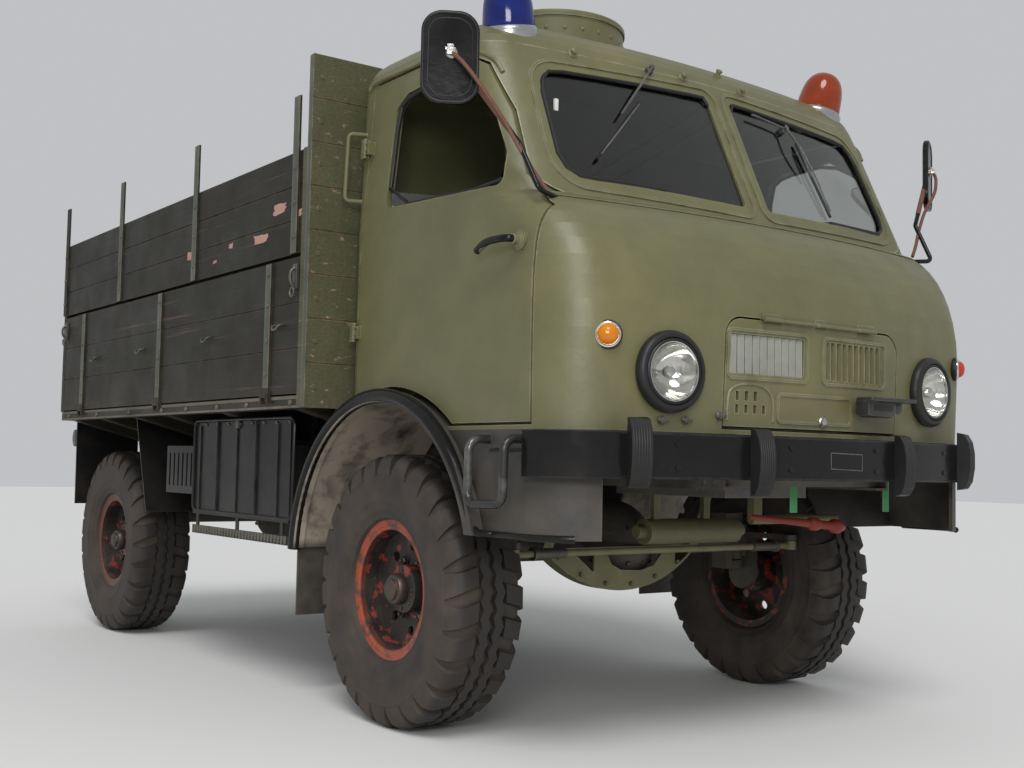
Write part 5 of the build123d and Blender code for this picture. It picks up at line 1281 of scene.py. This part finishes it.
for side_name, side in both_sides:
    turned_in = (Matrix.Translation(truck(0.585, side * 1.135, 2.035))
                 @ Matrix.Rotation(side * math.radians(30), 4, "Z"))
    rolled = bmesh.new()
    bent(rolled, head_line(0.0790, 0.1310, 0.056, 0.0070), 0.0042, 8, closed=True)
    bent(rolled, head_line(0.0640, 0.1150, 0.046, 0.0072), 0.0022, 6, closed=True)
    bent(rolled, head_line(0.0790, 0.1310, 0.056, -0.0070), 0.0042, 8, closed=True)
    rolled.transform(turned_in)
    fit("mirror_edge_" + side_name, rolled, rubber_finish, "chassis")
    silver = bmesh.new()
    near = [silver.verts.new(point) for point in head_line(0.0755, 0.1275, 0.053, -0.0076)]
    far = [silver.verts.new(point) for point in head_line(0.0755, 0.1275, 0.053, -0.0092)]
    silver.faces.new(near)
    silver.faces.new(list(reversed(far)))
    for k in range(len(near)):
        silver.faces.new([near[k - 1], far[k - 1], far[k], near[k]])
    silver.transform(turned_in)
    fit("mirror_glass_" + side_name, silver, chrome_finish, "chassis")
    clamp = bmesh.new()
    turned(clamp, Vector((0.006, -0.004 * side, 0.012)), (1, 0, 0), [
        (0, 0.0), (0, 0.017), (0.005, 0.017), (0.008, 0.011), (0.022, 0.010), (0.024, 0.0)], 16)
    slab(clamp, Vector((0.008, -0.010, 0.004)), Vector((0.022, 0.010, 0.034)), 0.002)
    slab(clamp, Vector((0.010, -0.016, 0.018)), Vector((0.018, 0.016, 0.026)), 0.002)
    clamp.transform(turned_in)
    fit("mirror_clamp_" + side_name, clamp, bright_finish, "chassis")
    foot, head = truck(0.668, side * 0.940, 1.800), truck(0.592, side * 1.127, 2.045)
    sleeve = bmesh.new()
    bent(sleeve, [foot + (head - foot) * 0.20, foot + (head - foot) * 0.90], 0.0090, 12)
    bent(sleeve, curved([turned_in @ Vector((0.022, 0, 0.012)), truck(0.634, side * 1.120, 2.010),
         truck(0.660, side * 1.072, 1.943), truck(0.668, side * 1.000, 1.860),
         truck(0.680, side * 0.947, 1.780), truck(0.696, side * 0.905, 1.715),
         truck(0.708, side * 0.868, 1.668)], 5), 0.0062, 10)
    fit("mirror_arm_" + side_name, sleeve, rust_finish, "chassis")

# The dashboard is black crackle sheet with a cluster of round gauges before the driver, on the left.
# The steering wheel is moulded black plastic with a plain rubber cap, and the gear lever has a knob.
dress("dashboard steering_wheel", black_finish)
gauge_white = painted("gauge_face", (0.55, 0.55, 0.52), (0.45, 0.45, 0.42), 20.0, 0.3, (0.3, 0.5), wear=0.0,
                      chips=0.0, dirt_amount=0.0)
gauge_rims, gauge_faces, gauge_needles = bmesh.new(), bmesh.new(), bmesh.new()
board_skin = solid_tree("dashboard")
for y, size in ((0.30, 0.030), (0.38, 0.045), (0.49, 0.045), (0.57, 0.030), (0.64, 0.030)):
    hit, out, _, _ = board_skin.ray_cast(truck(0.0, y, 1.555), Vector((1, 0, 0)))
    if out.x > 0:
        out = -out
    turned(gauge_rims, hit, out, [
        (-0.002, size + 0.006), (0.004, size + 0.006), (0.007, size + 0.003), (0.005, size),
        (-0.002, size)], 32)
    turned(gauge_faces, hit, out, [(0.0, size), (0.0018, size), (0.0018, 0)], 32)
    across_board = out.cross(Vector((0, 0, 1))).normalized()
    pointer = (across_board * 0.5 + out.cross(across_board) * 0.8).normalized()
    bent(gauge_needles, [hit + out * 0.003, hit + out * 0.003 + pointer * size * 0.8], 0.0012, 5)
fit("gauge_rims", gauge_rims, chrome_finish, "chassis")
fit("gauge_faces", gauge_faces, gauge_white, "chassis")
fit("gauge_needles", gauge_needles, black_finish, "chassis")
column_tilt = math.radians(35)
wheel_up = Vector((-math.sin(column_tilt), 0, math.cos(column_tilt)))
boss = bmesh.new()
turned(boss, truck(0.330, 0.440, 1.560), wheel_up, [
    (-0.016, 0.0), (-0.016, 0.040), (0.010, 0.040), (0.018, 0.034), (0.0205, 0.020), (0.0205, 0.0)], 32)
fit("horn_button", boss, rubber_finish, "chassis")
levers = bmesh.new()
bent(levers, curved([truck(0.23, 0.06, 1.318), truck(0.24, 0.07, 1.42), truck(0.20, 0.09, 1.50)], 5), 0.009,
     10)
turned(levers, truck(0.20, 0.09, 1.50), (-0.3, 0.1, 0.9), [
    (-0.006, 0), (-0.004, 0.014), (0.010, 0.021), (0.026, 0.021), (0.038, 0.012), (0.042, 0)], 16)
fit("gear_lever", levers, black_finish, "chassis")

# Two seats, each a stuffed cushion and back covered in dark vinyl, sewn into three channels with a
# piped edge. They are puffed up by cloth simulation from slightly smaller forms, and replace the
# CAD cushions. The left pair is the right pair's mirror image.
vinyl, place, given, leave = new_group("vinyl_grain", [
    ("Vinyl", COLOUR, (0.03, 0.026, 0.022, 1)), ("Worn", COLOUR, (0.08, 0.065, 0.05, 1))],
    [("Color", COLOUR), ("Height", NUMBER)])
grain = added(vinyl, "ShaderNodeTexVoronoi", Vector=place, Scale=420)
creases = reckoned(vinyl, "MULTIPLY_ADD", grain.outputs["Distance"], 0.6,
                   noise_mask(vinyl, place, 24.0, 0.3, 0.7))
sat_on = noise_mask(vinyl, place, 6.0, 0.45, 0.75)
connect(vinyl, leave, Color=mix_colour(vinyl, sat_on, given["Vinyl"], given["Worn"]), Height=creases)
vinyl_finish, vinyl_tree, vinyl_surface = new_finish("seat_vinyl")
vinyl_node = group_node(vinyl_tree, vinyl)
connect(vinyl_tree, vinyl_surface, Base_Color=vinyl_node.outputs["Color"], Roughness=0.48)
embossed(vinyl_tree, vinyl_node.outputs["Height"], 0.25, 0.0015)
pad_corner, pad_swell = 0.024, 0.012
channel_y, channel_half_width, channel_depth = (-0.07, 0.07), 0.010, 0.009
cloth_frames = 20


def stuffed(name, half_sizes, face_axis):
    """A cushion about the origin: a rounded block blown up as cloth, then sewn into channels."""
    build = bmesh.new()
    for vertex in bmesh.ops.create_cube(build, size=1)["verts"]:
        vertex.co = Vector(vertex.co[k] * 2 * half_sizes[k] for k in range(3))
    bmesh.ops.bevel(build, geom=build.edges[:], offset=pad_corner, segments=4, affect="EDGES", profile=0.5)
    pad = new_object(name, build, False)
    remesh = pad.modifiers.new("voxels", "REMESH")
    remesh.mode = "VOXEL"
    remesh.voxel_size = 0.006
    bpy.context.view_layer.update()
    dense = as_modified(pad)
    pad.modifiers.clear()
    pad.data = dense
    start = [vertex.co.copy() for vertex in dense.vertices]
    cloth = pad.modifiers.new("stuffing", "CLOTH")
    cloth.settings.use_pressure = True
    cloth.settings.uniform_pressure_force = 4
    cloth.settings.effector_weights.gravity = 0
    cloth.settings.quality = 5
    cloth.point_cache.frame_start = 1
    cloth.point_cache.frame_end = cloth_frames
    for number in range(1, cloth_frames + 1):
        bpy.context.scene.frame_set(number)
    ends = [vertex.co.copy() for vertex in as_modified(pad).vertices]
    pad.modifiers.remove(cloth)
    bpy.context.scene.frame_set(1)
    for vertex, begin, finish_at in zip(dense.vertices, start, ends):
        move = finish_at - begin
        if move.length > pad_swell:
            move = move.normalized() * pad_swell
        vertex.co = begin + move
    for vertex in dense.vertices:
        nearest = min(abs(vertex.co.y - y) for y in channel_y)
        depth = channel_depth * math.exp(-(nearest / channel_half_width) ** 2)
        facing_share = max(0.0, min(1.0, vertex.co[face_axis] / half_sizes[face_axis]))
        vertex.co[face_axis] -= depth * facing_share
    smooth = pad.modifiers.new("finish", "SUBSURF")
    smooth.levels = 1
    smooth.render_levels = 1
    bpy.context.view_layer.update()
    pad_mesh = as_modified(pad)
    pad.modifiers.clear()
    bpy.data.objects.remove(pad)
    return pad_mesh


def seat_piece(name, mesh, place_at, lean, side):
    """Puts a stuffed form in its seat, mirrored for the left one."""
    own = mesh.copy()
    own.name = name
    own.transform(Matrix.Translation(place_at) @ Matrix.Rotation(lean, 4, "Y"))
    if side > 0:
        own.transform(Matrix.Scale(-1, 4, (0, 1, 0)))
        own.flip_normals()
    own.materials.clear()
    own.materials.append(vinyl_finish)
    for face in own.polygons:
        face.use_smooth = True
    made = bpy.data.objects.new(name, own)
    bpy.context.scene.collection.objects.link(made)
    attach(made, "chassis")
    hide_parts("seat_cushions")


base_form = stuffed("seat_base", (0.214, 0.208, 0.044), 2)
back_form = stuffed("seat_back", (0.038, 0.208, 0.214), 0)
for side_name, side in both_sides:
    seat_piece("seat_base_" + side_name, base_form, truck(-0.010, -0.521, 1.3475), 0, side)
    seat_piece("seat_back_" + side_name, back_form, truck(-0.2175, -0.521, 1.6265), math.radians(-6.5),
               side)
    frame_tube = bmesh.new()
    for x in (-0.20, 0.18):
        bent(frame_tube, [truck(x, side * 0.56, 1.275), truck(x, side * 0.705, 1.275),
             truck(x, side * 0.715, 1.265), truck(x, side * 0.715, 1.165)], 0.009, 8)
    bent(frame_tube, [truck(-0.20, side * 0.715, 1.170), truck(0.18, side * 0.715, 1.170)], 0.009, 8)
    fit("seat_frame_" + side_name, frame_tube, black_finish, "chassis")

# The bed is built of sawn planks on steel bearers, painted dark green and worn to the wood. Its
# drop sides hang on strap hinges, and the racks above are held by flat steel stakes.
plank, place, given, leave = new_group("plank_wood", [
    ("Color", COLOUR, (0.05, 0.05, 0.03, 1)), ("Wood", COLOUR, (0.30, 0.20, 0.15, 1)),
    ("Bare", NUMBER, 0.5)], [("Color", COLOUR), ("Height", NUMBER)])
stretched = added(plank, "ShaderNodeMapping", Vector=place, Scale=(1.5, 30.0, 60.0)).outputs["Vector"]
fibres = noise_mask(plank, stretched, 2.4, 0.3, 0.7, 6)
worn_through = multiply(plank, noise_mask(plank, stretched, 0.7, 0.62, 0.70, 6), given["Bare"])
streaked = scaled(plank, given["Color"], ranged(plank, fibres, 0, 1, 0.80, 1.16))
connect(plank, leave, Color=mix_colour(plank, worn_through, streaked, given["Wood"]), Height=fibres)


def wooden(name, paint, patch, wood, bare, dirt_amount):
    """Painted planks: the cab's coat over wood grain, worn through along the fibres."""
    finish, tree, surface = new_finish(name)
    coat = group_node(tree, paint_coat, Paint=(*paint, 1), Patch=(*patch, 1), Patch_Size=2.2,
                      Patch_Amount=0.6, Gloss_Low=0.4, Gloss_High=0.65).outputs
    board = group_node(tree, plank, Color=coat["Color"], Wood=(*wood, 1), Bare=bare).outputs
    worn = group_node(tree, edge_wear, Color=board["Color"], Bare=(*wood, 1), Amount=0.5,
                      Chips=0.25).outputs
    dirtied = group_node(tree, road_dirt, Color=worn["Color"], Dirt=(0.17, 0.14, 0.11, 1), Low=0.9,
                         High=1.35, Amount=dirt_amount).outputs
    connect(tree, surface, Base_Color=dirtied["Color"], Roughness=coat["Roughness"],
            Specular_IOR_Level=0.25)
    embossed(tree, board["Height"], 0.35, 0.003)
    return finish


side_planks = wooden("side_planks", (0.018, 0.0165, 0.0105), (0.030, 0.026, 0.017), (0.20, 0.12, 0.09),
                     0.30, 0.15)
dress("bed_floor racks tailgate drop_side_right drop_side_left", side_planks)
head_planks = wooden("head_planks", (0.082, 0.081, 0.042), (0.105, 0.098, 0.054), (0.40, 0.24, 0.20), 0.70,
                     0.3)
dress("headboard", head_planks)
strap_finish = painted("strap_green_grey", (0.062, 0.070, 0.047), (0.038, 0.043, 0.030), 8.0, 0.6,
                       (0.35, 0.6), wear=0.7, chips=0.5, bare=(0.30, 0.26, 0.20, 1), dirt_low=0.9,
                       dirt_high=1.4, dirt_amount=0.35)
strap_x, tail_strap_y = (-0.670, -1.770, -2.830), (-0.700, 0.0, 0.700)
strap_low, strap_high, strap_half_width = 1.125, 1.583, 0.022
strap_bolt_z = (1.175, 1.300, 1.430, 1.545)
stake_x = (-0.475, -1.403, -2.318, -3.160)
for side_name, side in both_sides:
    body = "drop_side_" + side_name
    strap_bolts = [(truck(x, side * 1.0950, z), (0, side, 0)) for x in strap_x for z in strap_bolt_z]
    bolts("strap_bolts_" + side_name, strap_bolts, 0.010, 0.006, strap_finish, body, 12)
    cover = bmesh.new()
    for x in strap_x:
        slab(cover, truck(x - strap_half_width, side * 1.0945, strap_low),
             truck(x + strap_half_width, side * 1.0962, strap_high), 0.0006)
    fit("strap_faces_" + side_name, cover, strap_finish, body)
    stake_cover = bmesh.new()
    for x in stake_x[:3]:
        slab(stake_cover, truck(x - 0.0222, side * 1.0942, 1.602), truck(x + 0.0222, side * 1.0958, 2.172),
             0.0006)
    fit("stake_faces_" + side_name, stake_cover, strap_finish, "chassis")
    stake_bolts = [
        (truck(x, side * 1.0955, z), (0, side, 0)) for x in stake_x for z in (1.660, 1.786, 1.910)]
    bolts("stake_bolts_" + side_name, stake_bolts, 0.009, 0.006, strap_finish, "chassis", 12)
    staples = bmesh.new()
    for x in (-0.580, -1.235, -2.000, -2.640):
        bent(staples, curved([truck(x + across_by, side * y, z) for across_by, y, z in (
            (-0.026, 1.085, 1.350), (-0.026, 1.103, 1.347), (-0.014, 1.110, 1.334), (0.014, 1.110, 1.334),
            (0.026, 1.103, 1.347), (0.026, 1.085, 1.350))], 4), 0.0045, 8)
    fit("rope_hooks_" + side_name, staples, bolt_finish, body)
    latch = bmesh.new()
    for x in (-0.452, -3.120):
        slab(latch, truck(x - 0.016, side * 1.0870, 1.470), truck(x + 0.016, side * 1.0985, 1.560), 0.002)
        bent(latch, curved([truck(x, side * 1.098, 1.545), truck(x, side * 1.112, 1.530),
             truck(x, side * 1.113, 1.500), truck(x, side * 1.100, 1.478)], 5), 0.0058, 10)
        ring_points = [
            truck(x, side * 1.106, 1.470) + Vector((0.016 * math.cos(t), 0, 0.016 * math.sin(t) - 0.012))
            for t in around(16)]
        bent(latch, ring_points, 0.0035, 6, closed=True)
    fit("side_latches_" + side_name, latch, bolt_finish, body)
rack_skin = solid_tree("racks")
chip_pink = painted("chip_pink", (0.44, 0.24, 0.20), (0.30, 0.16, 0.13), 30.0, 0.7, (0.6, 0.8), wear=0.2,
                    chips=0.2, dirt_amount=0.2, bump=0.5)
chips = bmesh.new()
chip_pixels = (
    (280, 209, 0.052, 0.018), (261, 239, 0.058, 0.015), (190, 256, 0.026, 0.017),
    (231, 246, 0.016, 0.010), (299, 213, 0.020, 0.012), (215, 262, 0.018, 0.006))
for number, (column, row, long, high) in enumerate(chip_pixels):
    spot, out = seen_at(column, row, rack_skin)
    outline = []
    for k, t in enumerate(around(16)):
        ragged = 1 + 0.14 * math.sin(5.3 * k + number) + 0.09 * math.cos(9.1 * k + 2 * number)
        across_by, up_by = math.cos(t), math.sin(t)
        reach = ragged / max(abs(across_by), abs(up_by))
        outline.append(spot + Vector((long * across_by * reach + 0.4 * high * up_by, 0,
                       high * up_by * reach)))
    front = [chips.verts.new(point + Vector((0, -0.0008, 0))) for point in outline]
    back = [chips.verts.new(point + Vector((0, 0.002, 0))) for point in outline]
    chips.faces.new(front)
    chips.faces.new(list(reversed(back)))
    for k in range(16):
        chips.faces.new([front[k - 1], back[k - 1], back[k], front[k]])
fit("paint_chips", chips, chip_pink, "chassis")
laths = bmesh.new()
for side in (-1, 1):
    hit, _, _, _ = rack_skin.ray_cast(truck(-1.00, 0, 1.70), Vector((0, side, 0)))
    inner_y = abs(hit.y)
    slab(laths, truck(-3.150, min(side * (inner_y - 0.020), side * inner_y), 1.555),
         truck(-0.392, max(side * (inner_y - 0.020), side * inner_y), 1.640), 0.002)
fit("rack_foot_laths", laths, side_planks, "chassis")
tail_bolts = [(truck(-3.1852, y, z), (-1, 0, 0)) for y in tail_strap_y for z in strap_bolt_z]
bolts("tail_strap_bolts", tail_bolts, 0.010, 0.006, strap_finish, "tailgate", 12)
tail_cover = bmesh.new()
for y in tail_strap_y:
    slab(tail_cover, truck(-3.1862, y - strap_half_width, strap_low),
         truck(-3.1845, y + strap_half_width, strap_high), 0.0006)
fit("tail_strap_faces", tail_cover, strap_finish, "tailgate")
tail_latch = bmesh.new()
for y in (-1.0, 1.0):
    slab(tail_latch, truck(-3.1900, y - 0.016, 1.470), truck(-3.1760, y + 0.016, 1.560), 0.002)
    bent(tail_latch, curved([truck(-3.189, y, 1.545), truck(-3.202, y, 1.530), truck(-3.203, y, 1.500),
         truck(-3.190, y, 1.478)], 5), 0.0058, 10)
fit("tail_latches", tail_latch, bolt_finish, "tailgate")

# The floor's edge is a rolled steel rail, pale with dust, and square nuts hold it to the bearers.
# Domed bolts hold the headboard's planks, and flat steel strips cap its edges.
rail_finish = painted("dusty_rail", (0.055, 0.058, 0.042), (0.10, 0.095, 0.075), 7.0, 0.7, (0.5, 0.75),
                      wear=0.6, chips=0.5, bare=(0.22, 0.14, 0.10, 1), dirt_low=1.0, dirt_high=1.25,
                      dirt_amount=0.85, dirt=(0.20, 0.17, 0.135, 1))
rail_bolts = []
for side in (-1, 1):
    rail_bolts += [
        (truck(x, side * 1.0832, 1.066), (0, side, 0)) for x in (-0.480, -0.85, -1.130, -1.45, -1.730,
        -2.140, -2.600, -3.045)]
bolts("bed_rail_bolts", rail_bolts, 0.011, 0.007, rail_finish, "chassis", 4)
rail_lip = bmesh.new()
for side in (-1, 1):
    slab(rail_lip, truck(-3.168, side * 1.0826, 1.0475), truck(-0.416, side * 1.0842, 1.0560), 0.0007)
    slab(rail_lip, truck(-3.168, side * 1.0826, 1.0790), truck(-0.416, side * 1.0842, 1.0905), 0.0007)
fit("bed_rail_lips", rail_lip, rail_finish, "chassis")
head_bolts = [(truck(-0.3528, y, z), (1, 0, 0)) for y in (-1.06, -0.70, -0.25, 0.25, 0.70, 1.06)
              for z in (1.12, 1.28, 1.43, 1.59, 1.75, 1.91, 2.06, 2.22)]
bolts("headboard_bolts", head_bolts, 0.009, 0.004, strap_finish, "chassis", 12)
edge_caps = bmesh.new()
for side in (-1, 1):
    slab(edge_caps, truck(-0.3825, side * 1.0958, 1.050), truck(-0.3515, side * 1.0942, 2.298), 0.0006)
fit("headboard_edges", edge_caps, strap_finish, "chassis")

# The locker under the bed is ribbed sheet with a drop front. The battery box before the rear wheel
# has upright slits, and a scalloped strip hangs below the locker on flat hangers. On the other side
# steel straps hold the tank, whose filler leans out.
locker_trim = bmesh.new()
frame_run = [truck(-1.070 + x, -1.0045, 0.832 + z) for x, z in rounded(0.468, 0.188, 0.030, 6)]
bent(locker_trim, frame_run, 0.0065, 8, closed=True)
for x in (-1.295, -0.925):
    bent(locker_trim, [truck(x, -1.0055, 0.650), truck(x, -1.0055, 1.014)], 0.0042, 6)
fit("locker_edges", locker_trim, skirt_finish, "chassis")
locker_latch = bmesh.new()
slab(locker_latch, truck(-1.114, -1.0110, 0.985), truck(-1.086, -1.0000, 1.018), 0.002)
fit("locker_latches", locker_latch, bolt_finish, "chassis")
bolts("locker_bolts", [
    (truck(-1.535 + 0.1114 * i, -1.0005, 1.0035), (0, -1, 0)) for i in range(9)], 0.007, 0.005, bolt_finish,
    "chassis", 8)
scallop = bmesh.new()
slab(scallop, truck(-1.525, -1.0035, 0.5660), truck(-1.505, -0.9995, 0.5810), 0.0015)
turned(scallop, truck(-1.515, -0.9995, 0.5600), (0, -1, 0), [(0, 0.0), (0, 0.0085), (0.0042, 0.0085),
       (0.0042, 0.0)], 12)
repeat("scalloped_strip", scallop, row_tree, {"Count": 31, "Step": (0.0285, 0.0, 0.0)}, strap_finish,
       "chassis")
tank_straps = bmesh.new()
for x in (-1.35, -0.80):
    run = [truck(x, 0.800, 0.617), truck(x, 0.905, 0.617), truck(x, 0.962, 0.640), truck(x, 0.992, 0.705),
           truck(x, 0.9925, 0.830), truck(x, 0.965, 0.895), truck(x, 0.905, 0.9175),
           truck(x, 0.800, 0.9175)]
    for near, far in zip(run, run[1:]):
        quad = []
        for point, across_by in ((near, -0.016), (near, 0.016), (far, 0.016), (far, -0.016)):
            quad.append(tank_straps.verts.new(point + Vector((across_by, 0, 0))))
        tank_straps.faces.new(quad)
joined_up(tank_straps)
fit("tank_straps", tank_straps, strap_finish, "chassis", 35, False)
filler = bmesh.new()
turned(filler, truck(-1.10, 0.975, 0.860), (0, 0.75, 0.66), [
    (-0.03, 0.036), (0.018, 0.036), (0.018, 0.043), (0.036, 0.043), (0.040, 0.038), (0.040, 0)], 24)
fit("tank_filler", filler, bolt_finish, "chassis")

# Each tail lamp is a black drum below the bed's rear corner. It has a turned cover on its side and a
# red moulded lens that faces back.
dress("tail_lamps", skirt_finish)
# The tail lens carries a faint painted glow; the lamp is not lit.
tail_red = lens_plastic("tail_red", (0.42, 0.012, 0.010), (0.55, 0.03, 0.02))
for side_name, side in both_sides:
    tail = bmesh.new()
    turned(tail, truck(-3.205, side * 0.9985, 0.957), (0, side, 0), [
        (-0.002, 0.0), (-0.002, 0.0420), (0.0010, 0.0420), (0.0016, 0.0405), (0.0016, 0.0)], 32)
    fit("tail_lamp_face_" + side_name, tail, black_finish, "chassis")
    lens_back = bmesh.new()
    turned(lens_back, truck(-3.2495, side * 0.965, 0.957), (-1, 0, 0), [
        (-0.006, 0.0), (-0.006, 0.028), (0.000, 0.028), (0.0035, 0.024), (0.0050, 0.016), (0.0055, 0.0)],
        28)
    fit("tail_lens_" + side_name, lens_back, tail_red, "chassis")
